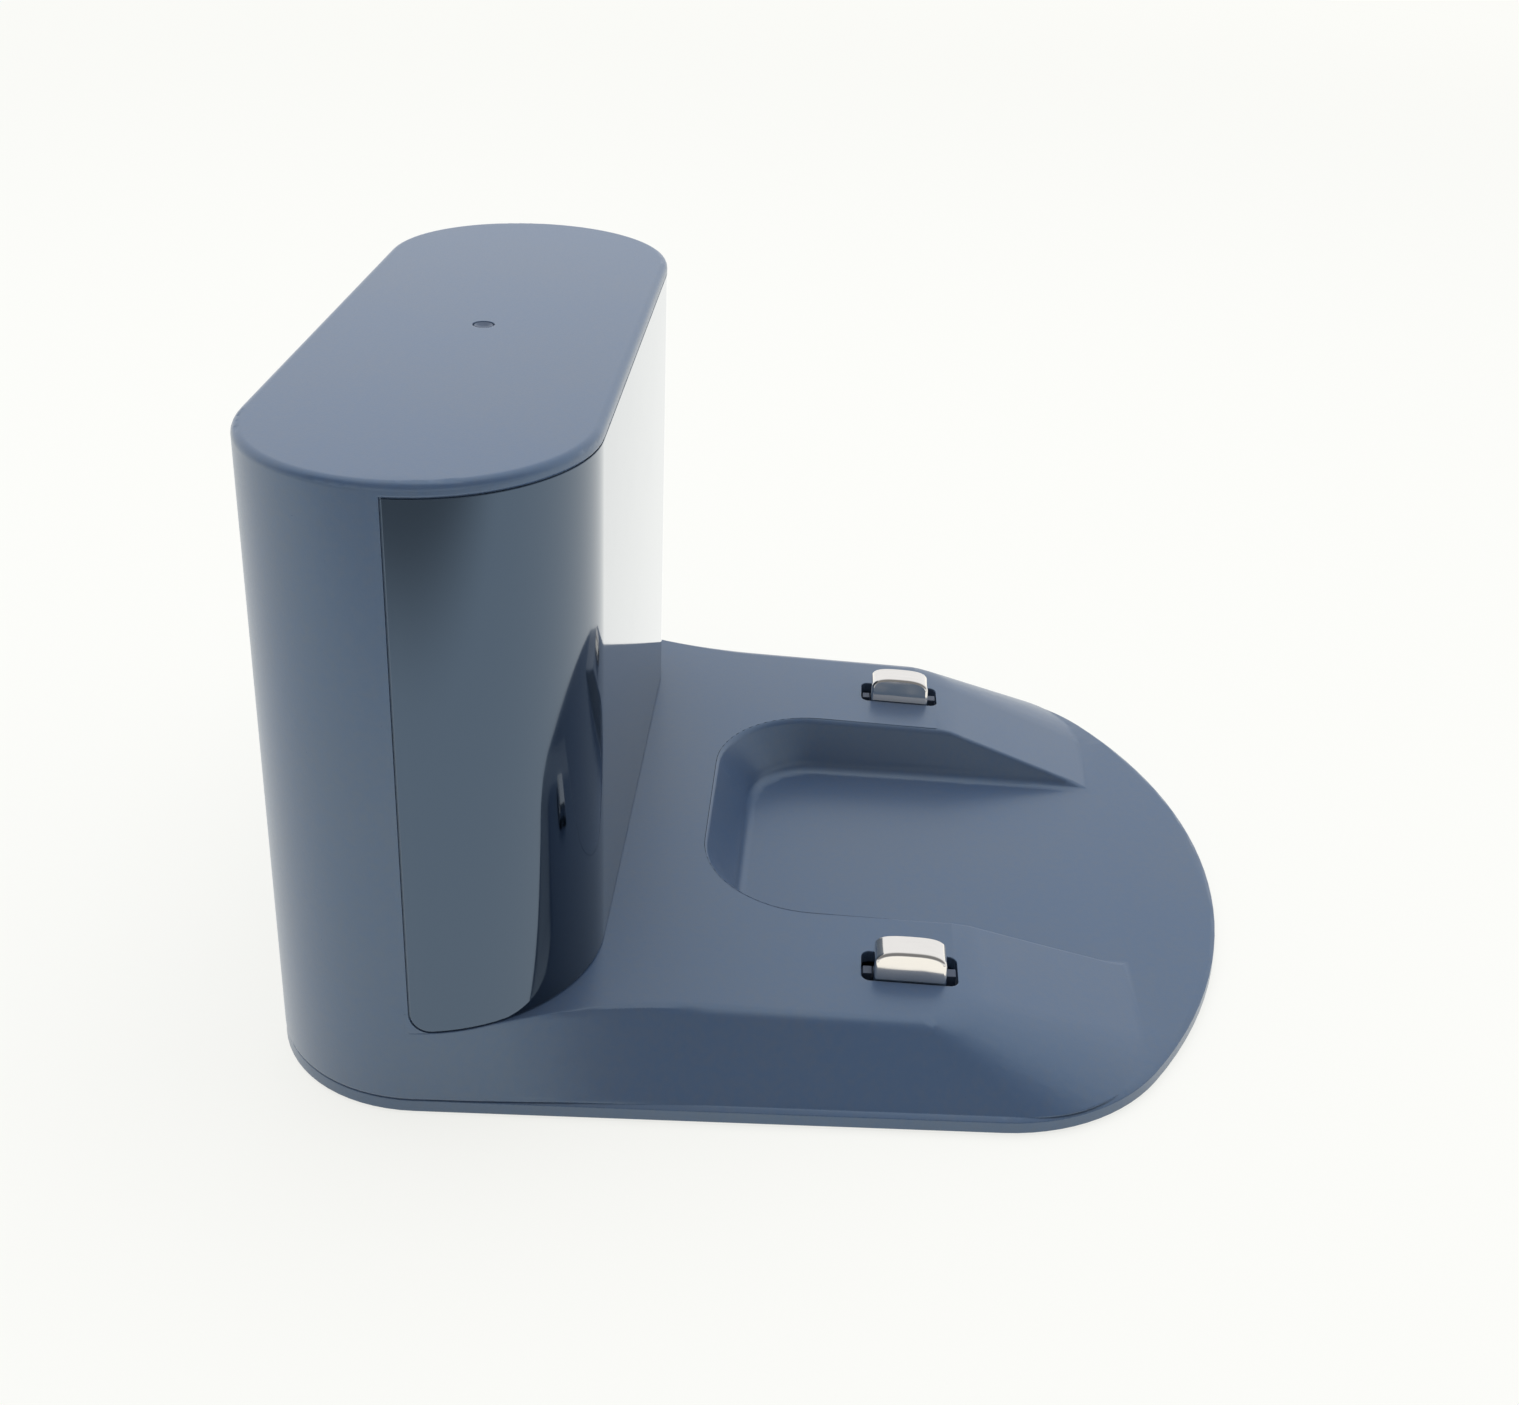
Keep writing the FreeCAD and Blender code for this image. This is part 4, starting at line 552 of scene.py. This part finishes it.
def coil_layout(name):
    """Nodes that wind a round wire into a coil."""
    layout = Layout(name, Turns="Float", Radius="Float", Height="Float", Wire="Float", Place="Vector",
                    Finish="Material")
    given = layout.given
    spiral = layout.add("GeometryNodeCurveSpiral", Resolution=40, Rotations=given["Turns"],
                        Start_Radius=given["Radius"], End_Radius=given["Radius"], Height=given["Height"])
    section = layout.add("GeometryNodeCurvePrimitiveCircle", Resolution=14, Radius=given["Wire"])
    wound = layout.add("GeometryNodeCurveToMesh", Curve=spiral.outputs["Curve"],
                       Profile_Curve=section.outputs["Curve"], Fill_Caps=True)
    moved = layout.add("GeometryNodeTransform", Geometry=wound.outputs["Mesh"], Translation=given["Place"])
    layout.end(moved.outputs["Geometry"])
    return layout


class DOCK_OT_housing(bpy.types.Operator):
    """Builds the satin housing, the lid of its cord bay and the plate under it"""

    bl_idname = "dock.housing"
    bl_label = "Housing"

    def execute(self, context):
        look = context.scene.dock_colours
        sizes = context.scene.dock_sizes
        slate = slate_satin("slate_satin", look, sizes, sizes.edge)
        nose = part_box("upper_housing")[0][1]
        cuts = [nose + bend + side * sizes.ramp_blend
                for bend in (sizes.ramp_foot, sizes.ramp_head) for side in (-1, 1)]
        shell = skin("upper_housing", "housing_skin", self.recess_rims(), sizes.rim, sizes.toe, cuts)
        housing = new_piece("housing_skin", shell, slate)
        flat_faces(housing)
        place_piece(housing, "upper_housing", "dock")
        lid = new_piece("lid_skin", skin("rear_lid", "lid_skin"), slate)
        flat_faces(lid)
        place_piece(lid, "rear_lid", "lid")
        dress("bottom_cover", moulded("plate_satin", look.slate, 0.5, 2 * sizes.grain, sizes.edge, 0.00004))
        return {"FINISHED"}

    def recess_rims(self):
        """A test for edges between the deck or a ramp and a wall of the recess."""
        slot_margin, cover_margin = 0.0005, 0.001
        slot_side = abs(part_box("left_contact_cap")[1][0]) - slot_margin
        cover_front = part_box("front_cover")[0][1] - cover_margin

        def is_rim(edge):
            wall, deck = sorted(face.normal.z for face in edge.link_faces)
            middle = (edge.verts[0].co + edge.verts[1].co) / 2
            in_recess = abs(middle.x) < slot_side and middle.y < cover_front
            leaning_wall = 0.05 < wall < 0.8
            level_deck = deck > 0.9
            return in_recess and leaning_wall and level_deck

        return is_rim


class DOCK_OT_cover(bpy.types.Operator):
    """Builds the polished front cover and the lip behind its seam"""

    bl_idname = "dock.cover"
    bl_label = "Front cover"

    def execute(self, context):
        look = context.scene.dock_colours
        sizes = context.scene.dock_sizes
        gloss = polished("cover_polish", look.polished, 0.6 * sizes.edge, (0.42, 0.66, 1.0, 1.0))
        cover = new_piece("cover_skin", skin("front_cover", "cover_skin"), gloss)
        flat_faces(cover)
        place_piece(cover, "front_cover", "dock")
        satin = slate_satin("lip_satin", look, sizes, 0.1 * sizes.edge)
        lip = new_piece("seam_lip", self.lip_mesh(sizes), satin)
        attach(lip, "dock")
        return {"FINISHED"}

    def lip_mesh(self, sizes):
        """A band that closes the seam just below the surface, and patches that round its lower corners."""
        low, high = corners("front_cover")
        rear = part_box("upper_housing")[1][1]
        radius = (rear - low.y) / 2
        middle, centre = (rear + low.y) / 2, high.x - radius
        clearance = 0.00002
        bottom, top = low.z - sizes.seam + clearance, high.z + sizes.seam - clearance
        work = bmesh.new()

        def in_wall(sign, turn, depth):
            """A place at a depth in the cover's wall, turned from its side towards its front."""
            inside = radius - depth
            return sign * (centre + inside * math.cos(turn)), middle - inside * math.sin(turn)

        steps = 32
        last = 2 * steps + 1
        columns = []
        for number in range(last + 1):
            turn = 0.5 * math.pi * min(number, last - number) / steps
            column = []
            for depth in (sizes.lip, 3 * sizes.lip):
                across, along = in_wall(-1 if number <= steps else 1, turn, depth)
                if number in (0, last):
                    along -= clearance
                for height in (bottom, top):
                    column.append(work.verts.new((across, along, height)))
            columns.append(column)
        for first, second in zip(columns, columns[1:]):
            for start, end in ((0, 1), (1, 3), (3, 2), (2, 0)):
                work.faces.new((first[start], first[end], second[end], second[start]))
        for column in (columns[0], columns[-1]):
            work.faces.new((column[0], column[1], column[3], column[2]))
        proud, lap = 0.00001, 2 * sizes.seam
        inner = sizes.seam + sizes.seam_corner
        outline = [(-lap, bottom - lap), (-lap, bottom + inner)]
        outline += quarter(inner, bottom + inner, inner, 180.0, 8) + [(inner, bottom - lap)]
        for sign in (-1, 1):
            sides = []
            for depth in (-proud, 2 * sizes.lip):
                ring = [work.verts.new((*in_wall(sign, along / radius, depth), height))
                        for along, height in outline]
                sides.append(ring)
                for number in range(1, len(ring) - 1):
                    work.faces.new((ring[0], ring[number], ring[number + 1]))
            for number in range(len(outline)):
                after = (number + 1) % len(outline)
                work.faces.new((sides[0][number], sides[0][after], sides[1][after], sides[1][number]))
        bmesh.ops.recalc_face_normals(work, faces=work.faces)
        mesh = bpy.data.meshes.new("seam_lip")
        smooth_mesh(work, mesh, 30.0)
        return mesh


class DOCK_OT_contacts(bpy.types.Operator):
    """Builds the plated contacts, with their carriers, springs, terminals and leads"""

    bl_idname = "dock.contacts"
    bl_label = "Contacts"

    def execute(self, context):
        sizes = context.scene.dock_sizes
        nickel = plated("contact_nickel", context.scene.dock_colours.nickel)
        carrier = moulded("carrier_plastic", srgb(62, 74, 94), 0.45, 0.0003, 0.0002)
        spring = metal("spring_steel", srgb(196, 196, 192), 0.22, (1.0, 1.0, 0.2), 0.0001)
        brass = metal("terminal_brass", srgb(214, 182, 108), 0.25, (0.1, 1.0, 1.0), 0.0001)
        wire = insulated("contact_insulation", srgb(150, 34, 30))
        for side in ("left", "right"):
            node = side + "_contact_cap"
            cap = new_piece(side + "_cap_sheet", self.cap_mesh(node, sizes), nickel)
            bend = cap.modifiers.new("bent_edges", "BEVEL")
            bend.width = sizes.cap_bend
            bend.segments = 4
            bend.limit_method = "ANGLE"
            bend.angle_limit = math.radians(25)
            bend.use_clamp_overlap = False
            sheet = cap.modifiers.new("sheet", "SOLIDIFY")
            sheet.thickness = sizes.cap_sheet
            sheet.offset = -1.0
            flat_faces(cap)
            place_piece(cap, node, side + "_contact")
            dress(side + "_contact_carrier", carrier)
            self.coil(side, spring, sizes.spring_wire)
            dress(side + "_contact_terminal", brass)
        dress("contact_leads", wire)
        return {"FINISHED"}

    def coil(self, side, steel, wire):
        """The spring under a carrier, which gives way as the contact is pressed."""
        node = side + "_contact_spring"
        low, high = corners(node)
        middle = (low + high) / 2
        tall = high.z - low.z
        obj = new_piece(side + "_spring_coil", bpy.data.meshes.new(node))
        coil_layout(node + "_winding").run(
            obj, Turns=3.5, Radius=(high.x - low.x - wire) / 2, Height=tall - wire, Wire=wire / 2,
            Place=(middle.x, middle.y, low.z + wire / 2), Finish=steel)
        obj.data.shade_smooth()
        place_piece(obj, node, "dock")
        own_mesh(obj)

    def cap_mesh(self, node, sizes):
        """A strip over the top and down both ends, with sloping sides, open below."""
        low, high = corners(node)
        middle = (low + high) / 2
        end_lean = 0.0001
        half_length = (high.y - low.y) / 2
        half_top = half_length - end_lean
        slope = math.tan(sizes.deck_fall)
        top = high.z - (half_top - sizes.cap_round) * slope
        deck = top - sizes.cap_rise
        steps, fullness = 24, 2.0 / 3.0
        profile = [(half_length, low.z), (half_length, deck)]
        for step in range(steps + 1):
            around = math.pi * step / steps
            along = math.copysign(abs(math.cos(around)) ** fullness, math.cos(around))
            drop = sizes.cap_round * (1 - math.sin(around) ** fullness)
            profile.append((half_top * along, top - drop))
        profile += [(-half_length, deck), (-half_length, low.z)]
        work = bmesh.new()
        rows = []
        for along, height in profile:
            share = min(1.0, max(0.0, (height - deck) / sizes.cap_rise))
            half = (high.x - low.x) / 2 + share * (sizes.cap_top - high.x + low.x) / 2
            lift = along * slope if height >= deck else 0.0
            rows.append([work.verts.new((middle.x + sign * half, middle.y + along, height + lift))
                         for sign in (-1, 1)])
        for first, second in zip(rows, rows[1:]):
            work.faces.new((first[0], first[1], second[1], second[0]))
        for side in (0, 1):
            work.faces.new([row[side] for row in (rows[0], rows[1], rows[-2], rows[-1])])
            work.faces.new([row[side] for row in rows[1:-1]])
        bmesh.ops.recalc_face_normals(work, faces=work.faces)
        mesh = bpy.data.meshes.new(node)
        smooth_mesh(work, mesh, 30.0)
        return mesh


class DOCK_OT_fasteners(bpy.types.Operator):
    """Builds the screws under the base and on the board"""

    bl_idname = "dock.fasteners"
    bl_label = "Screws"

    head_radius = 0.0026
    seed = 7

    def execute(self, context):
        zinc = metal("screw_zinc", srgb(188, 190, 194), 0.26, (1.0, 1.0, 1.0), 0.0001, 2600.0)
        recess = context.scene.dock_sizes.recess
        radius = self.head_radius
        for node, rotation, axis, head in (("cover_screws", DOWN, 2, 0.0005),
                                           ("board_screws", TO_NOSE, 1, 0.0016)):
            low, high = corners(node)
            pattern = self.screw(node, high[axis] - low[axis], head, rotation, recess)
            across, up = [number for number in range(3) if number != axis]
            places = []
            for first in (low[across] + radius, high[across] - radius):
                for second in (low[up] + radius, high[up] - radius):
                    place = Vector((0, 0, 0))
                    place[across], place[up], place[axis] = first, second, low[axis]
                    places.append(place)
            outwards = rotation @ Vector((0, 0, 1))
            screws = repeated(node + "_turned", pattern, places, outwards, self.seed, zinc)
            place_piece(screws, node, "dock")
        return {"FINISHED"}

    def screw(self, name, total, head, rotation, recess):
        """A pan head with a cross recess on a grooved shank; the head's outer face is at the origin."""
        radius, shank, edge = self.head_radius, 0.0011, 0.3 * head
        tip, groove, grooves = 0.4 * shank, 0.78 * shank, 8
        run = (total - head - tip) / grooves
        profile = [(0.0, -total), (0.6 * shank, -total), (shank, tip - total)]
        for number in range(grooves):
            start = tip - total + number * run
            profile += [(groove, start + 0.5 * run), (shank, start + run)]
        profile += [(radius, -head)] + quarter(radius - edge, -edge, edge, 0.0) + [(0.0, 0.0)]
        screw = new_piece(name + "_pattern", turned(name + "_pattern", profile, [(ORIGIN, rotation)], 32))
        slit = 0.28 * recess
        work = bmesh.new()
        for width, depth in ((recess, slit), (slit, recess)):
            size = Matrix.Diagonal((width, depth, 1.4 * head, 1.0))
            bmesh.ops.create_cube(work, size=1.0, matrix=rotation.to_4x4() @ size)
        cutter = bpy.data.meshes.new(name + "_recess")
        work.to_mesh(cutter)
        work.free()
        tool = new_piece(name + "_recess", cutter)
        cut = screw.modifiers.new("recess", "BOOLEAN")
        cut.object = tool
        cut.solver = "EXACT"
        cut.use_self = True
        keep_result(screw)
        bpy.data.objects.remove(tool)
        return screw


class DOCK_OT_feet(bpy.types.Operator):
    """Builds the rubber feet"""

    bl_idname = "dock.feet"
    bl_label = "Feet"

    seed = 3

    def execute(self, context):
        low, high = corners("rubber_feet")
        radius, tall, lip = 0.006, high.z - low.z, 0.00025
        hollow = 0.4 * lip
        profile = [(0.0, tall), (radius, tall)]
        profile += [(radius, lip), (radius - 0.3 * lip, 0.3 * lip), (radius - lip, 0.0)]
        profile += [(0.62 * radius, 0.0), (0.6 * radius, hollow), (0.0, hollow)]
        foot = new_piece("foot_pattern", turned("foot_pattern", profile, [(ORIGIN, UP)], 64))
        places = [(across, along, low.z) for across in (low.x + radius, high.x - radius)
                  for along in (low.y + radius, high.y - radius)]
        black = rubber("foot_rubber", srgb(40, 42, 46))
        feet = repeated("feet_moulded", foot, places, (0, 0, 1), self.seed, black)
        place_piece(feet, "rubber_feet", "dock")
        return {"FINISHED"}


class DOCK_OT_light(bpy.types.Operator):
    """Builds the light pipe in the top and the light source under it"""

    bl_idname = "dock.light"
    bl_label = "Status light"

    def execute(self, context):
        low, high = corners("light_pipe")
        middle = (low + high) / 2
        rod, flange, flange_thick = 0.0016, (high.x - low.x) / 2, 0.0012
        above_flange, sunk, bevel, dish = 0.00155, 0.00005, 0.0002, 0.0004
        shelf = high.z - low.z - above_flange
        under = shelf - flange_thick
        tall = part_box("upper_housing")[1][2] - low.z - sunk
        profile = [(0.0, 0.0), (rod, 0.0), (rod, under), (flange, under), (flange, shelf), (rod, shelf),
                   (rod, tall - bevel), (rod - bevel, tall)]
        profile += [(out * rod, tall - deep * dish)
                    for out, deep in ((0.75, 0.2), (0.5, 0.7), (0.25, 0.95), (0.0, 1.0))]
        mesh = turned("light_pipe_lens", profile, [(Vector((middle.x, middle.y, low.z)), UP)])
        smoked = lens("smoked_lens", context.scene.dock_colours.slate, 0.25)
        pipe = new_piece("light_pipe_lens", mesh, smoked)
        place_piece(pipe, "light_pipe", "dock")
        dress("status_led", lens("status_lens", srgb(170, 214, 150)))
        return {"FINISHED"}


class DOCK_OT_inlet(bpy.types.Operator):
    """Builds the mains inlet, its pins and its leads"""

    bl_idname = "dock.inlet"
    bl_label = "Mains inlet"

    def execute(self, context):
        dress("mains_inlet", moulded("inlet_plastic", srgb(26, 27, 30), 0.4, 0.0004, 0.0003))
        low, high = corners("inlet_pins")
        radius, long = (high.z - low.z) / 2, high.y - low.y
        tip = 0.75 * radius
        profile = [(0.0, 0.0), (radius, 0.0)] + quarter(radius - tip, long - tip, tip, 0.0) + [(0.0, long)]
        turns = [(Vector((across, low.y, (low.z + high.z) / 2)), TO_REAR)
                 for across in (low.x + radius, high.x - radius)]
        nickel = metal("pin_nickel", srgb(214, 208, 190), 0.2, (1.0, 0.1, 1.0), 0.0002)
        pins = new_piece("pins_turned", turned("pins_turned", profile, turns, 32), nickel)
        place_piece(pins, "inlet_pins", "dock")
        dress("mains_leads", insulated("mains_insulation", srgb(38, 62, 120)))
        return {"FINISHED"}


class DOCK_OT_charger(bpy.types.Operator):
    """Builds the board with the charger's parts and the infrared beacon"""

    bl_idname = "dock.charger"
    bl_label = "Charger"

    def execute(self, context):
        aluminium = metal("sink_aluminium", srgb(196, 198, 202), 0.3, (1.0, 0.04, 1.0), 0.0002)
        tape = sleeved("winding_tape", srgb(206, 176, 84), srgb(172, 140, 58), (0.1, 1.0, 0.1), 120.0)
        dress("main_board", laminate("board_mask", srgb(18, 74, 44), srgb(38, 112, 62)))
        dress("transformer_core", sintered("core_ferrite", srgb(52, 52, 56)))
        dress("transformer_winding", tape)
        dress("safety_capacitor", moulded("film_box", srgb(206, 172, 66), 0.35, 0.0006, 0.0003))
        dress("line_fuse", metal("fuse_caps", srgb(206, 204, 198), 0.25, (0.1, 1.0, 1.0), 0.0002))
        dress("heat_sink", aluminium)
        dress("power_transistor", sintered("device_epoxy", srgb(34, 34, 37)))
        dress("emitter_holder", moulded("holder_plastic", srgb(30, 31, 35), 0.5, 0.0004, 0.0003))
        for node, tone, band in (("bulk_capacitor", srgb(30, 36, 62), srgb(170, 172, 180)),
                                 ("output_capacitor", srgb(38, 34, 32), srgb(184, 158, 80))):
            sleeve = sleeved(node + "_sleeve", tone, band, (1.0, 0.02, 1.0), 40.0)
            self.can(node, sleeve, aluminium)
        self.emitters(lens("emitter_tint", srgb(70, 62, 96)))
        return {"FINISHED"}

    def can(self, node, sleeve, aluminium):
        """A crimped can with a sleeve and a bare, slightly sunk end."""
        low, high = corners(node)
        radius, long = (high.x - low.x) / 2, high.y - low.y
        edge, sunk = 0.16 * radius, 0.0002
        foot = [(0.0, 0.0), (radius - edge, 0.0)] + quarter(radius - edge, edge, edge, -90.0)
        waist = [(radius, 0.1 * long), (0.9 * radius, 0.14 * long), (radius, 0.18 * long)]
        top = quarter(radius - edge, long - edge, edge, 0.0)
        bare_end = [(0.8 * radius, long), (0.78 * radius, long - sunk), (0.0, long - sunk)]
        profile = foot + waist + top + bare_end
        bands = [0] * (len(profile) - 3) + [1, 1]
        turn = (Vector(((low.x + high.x) / 2, high.y, (low.z + high.z) / 2)), TO_NOSE)
        can = new_piece(node + "_can", turned(node + "_can", profile, [turn], 48, bands), sleeve, aluminium)
        place_piece(can, node, "dock")

    def emitters(self, tint):
        """Domed emitters in a row."""
        low, high = corners("emitter_leds")
        radius, long = (high.z - low.z) / 2, high.y - low.y
        dome = 0.93 * radius
        profile = [(0.0, 0.0), (radius, 0.0), (radius, 0.2 * long), (dome, 0.22 * long)]
        profile += quarter(0.0, long - dome, dome, 0.0, 10)
        turns = [(Vector((across, high.y, (low.z + high.z) / 2)), TO_NOSE)
                 for across in (low.x + radius, (low.x + high.x) / 2, high.x - radius)]
        row = new_piece("emitters_domed", turned("emitters_domed", profile, turns, 32), tint)
        place_piece(row, "emitter_leds", "dock")


class DOCK_OT_stage(bpy.types.Operator):
    """Builds the floor, the light and the camera"""

    bl_idname = "dock.stage"
    bl_label = "Stage"

    def execute(self, context):
        scene = context.scene
        backdrop = scene.dock_colours.backdrop
        scene.view_settings.view_transform = "Standard"
        self.world(scene, backdrop)
        self.floor(backdrop)
        self.lamp(scene)
        self.camera(scene)
        return {"FINISHED"}

    def world(self, scene, backdrop):
        """A studio, bright behind the dock and dim on the viewer's side; the camera sees the backdrop."""
        scene.world = bpy.data.worlds.new("studio")
        scene.world.use_nodes = True
        room = Nodes(scene.world.node_tree)
        coords = room.add("ShaderNodeTexCoord").outputs["Generated"]
        direction = room.add("ShaderNodeSeparateXYZ", Vector=coords)
        horizon = room.ramp(direction.outputs["Z"], 0.1, 0.4, 0.95, 0.0)
        far_side = room.ramp(direction.outputs["X"], -0.45, 0.35, 0.25, 1.1)
        light = room.add("ShaderNodeBackground", Color=(0.96, 0.985, 1.03, 1.0),
                         Strength=room.math("MAXIMUM", far_side, horizon))
        shown = room.add("ShaderNodeBackground", Color=backdrop)
        seen = room.ray("Is Camera Ray", "Is Transmission Ray")
        room.add("ShaderNodeOutputWorld", Surface=room.mixed(seen, light, shown))

    def floor(self, backdrop):
        """White paper; in mirrors it is painted darker towards the viewer and painted brighter round the
        dock.
        """
        half = 6.0
        mesh = bpy.data.meshes.new("floor")
        mesh.from_pydata([(-half, -half, 0), (half, -half, 0), (half, half, 0), (-half, half, 0)], [],
                         [(0, 1, 2, 3)])
        paper = Shader("floor_paper")
        across = paper.add("ShaderNodeSeparateXYZ", Vector=paper.coords).outputs["X"]
        distance = paper.add("ShaderNodeVectorMath")
        distance.operation = "LENGTH"
        paper.plug(distance.inputs[0], paper.coords)
        # Painted shade and light, seen only in mirrors: darker on the viewer's side, brighter beside the
        # dock, plain again further off.
        painted_shade_near = paper.ramp(across, -0.29, -0.17, 0.3, 1.3)
        painted_shade_far = paper.ramp(across, -0.9, -0.5, 1.0, 0.3)
        mirrored = paper.ray("Is Glossy Ray")
        painted_mirror_shade = paper.math("MULTIPLY", mirrored, paper.math("MAXIMUM", painted_shade_near, painted_shade_far))
        painted_mirror_strength = paper.math("ADD", painted_mirror_shade, paper.math("SUBTRACT", 1.0, mirrored))
        matt = paper.add("ShaderNodeBsdfDiffuse", Color=backdrop)
        glow = paper.add("ShaderNodeEmission", Color=backdrop, Strength=painted_mirror_strength)
        seen = paper.ray("Is Camera Ray", "Is Glossy Ray", "Is Transmission Ray")
        away = paper.ramp(distance.outputs["Value"], 0.3, 1.6, 0.8, 1.0)
        share = paper.math("MULTIPLY", seen, away)
        paper.plug(paper.output.inputs["Surface"], paper.mixed(share, matt, glow))
        new_piece("floor", mesh, paper.material)

    def lamp(self, scene):
        """A soft square lamp overhead, which isn't seen in mirrors."""
        light = bpy.data.lights.new("key", "AREA")
        light.shape = "RECTANGLE"
        light.size = 0.9
        light.size_y = 0.9
        light.energy = 5.2
        lamp = bpy.data.objects.new("key", light)
        lamp.location = (0.1, 0.05, 1.1)
        lamp.rotation_euler = (-lamp.location).to_track_quat("-Z", "Y").to_euler()
        lamp.visible_glossy = False
        scene.collection.objects.link(lamp)

    def camera(self, scene):
        """The photograph's viewpoint: from the left side, a little above the deck."""
        place = (-0.26109, -0.00194, 0.18122)
        yaw, pitch, roll = math.radians(-3.47), math.radians(24.39), math.radians(-4.62)
        ahead = Vector((math.cos(yaw) * math.cos(pitch), math.sin(yaw) * math.cos(pitch), -math.sin(pitch)))
        level = ahead.cross(Vector((0, 0, 1))).normalized()
        down = ahead.cross(level)
        right = level * math.cos(roll) + down * math.sin(roll)
        below = -level * math.sin(roll) + down * math.cos(roll)
        data = bpy.data.cameras.new("photo_view")
        data.sensor_fit = "HORIZONTAL"
        data.sensor_width = 36.0
        data.lens = 41.24
        data.shift_x = -0.1016
        data.shift_y = -0.0957
        data.clip_start = 0.01
        camera = bpy.data.objects.new("photo_view", data)
        turn = Matrix((right, -below, -ahead)).transposed().to_4x4()
        camera.matrix_world = Matrix.Translation(place) @ turn
        scene.collection.objects.link(camera)
        scene.camera = camera


class DOCK_PT_panel(bpy.types.Panel):
    """Colours, sizes and the build steps"""

    bl_label = "Charging dock"
    bl_idname = "DOCK_PT_panel"
    bl_space_type = "VIEW_3D"
    bl_region_type = "UI"
    bl_category = "Dock"

    def draw(self, context):
        column = self.layout.column()
        for group in (context.scene.dock_colours, context.scene.dock_sizes):
            for name in group.__annotations__:
                column.prop(group, name)
        for step in STEPS:
            column.operator(step.bl_idname)


STEPS = (DOCK_OT_housing, DOCK_OT_cover, DOCK_OT_contacts, DOCK_OT_fasteners, DOCK_OT_feet, DOCK_OT_light,
         DOCK_OT_inlet, DOCK_OT_charger, DOCK_OT_stage)
CLASSES = (DockColours, DockSizes, *STEPS, DOCK_PT_panel)


def register():
    for item in CLASSES:
        bpy.utils.register_class(item)
    bpy.types.Scene.dock_colours = bpy.props.PointerProperty(type=DockColours)
    bpy.types.Scene.dock_sizes = bpy.props.PointerProperty(type=DockSizes)


def unregister():
    del bpy.types.Scene.dock_sizes
    del bpy.types.Scene.dock_colours
    for item in reversed(CLASSES):
        bpy.utils.unregister_class(item)


def main():
    register()
    bpy.ops.dock.housing()
    bpy.ops.dock.cover()
    bpy.ops.dock.contacts()
    bpy.ops.dock.fasteners()
    bpy.ops.dock.feet()
    bpy.ops.dock.light()
    bpy.ops.dock.inlet()
    bpy.ops.dock.charger()
    bpy.ops.dock.stage()


if __name__ == "__main__":
    main()
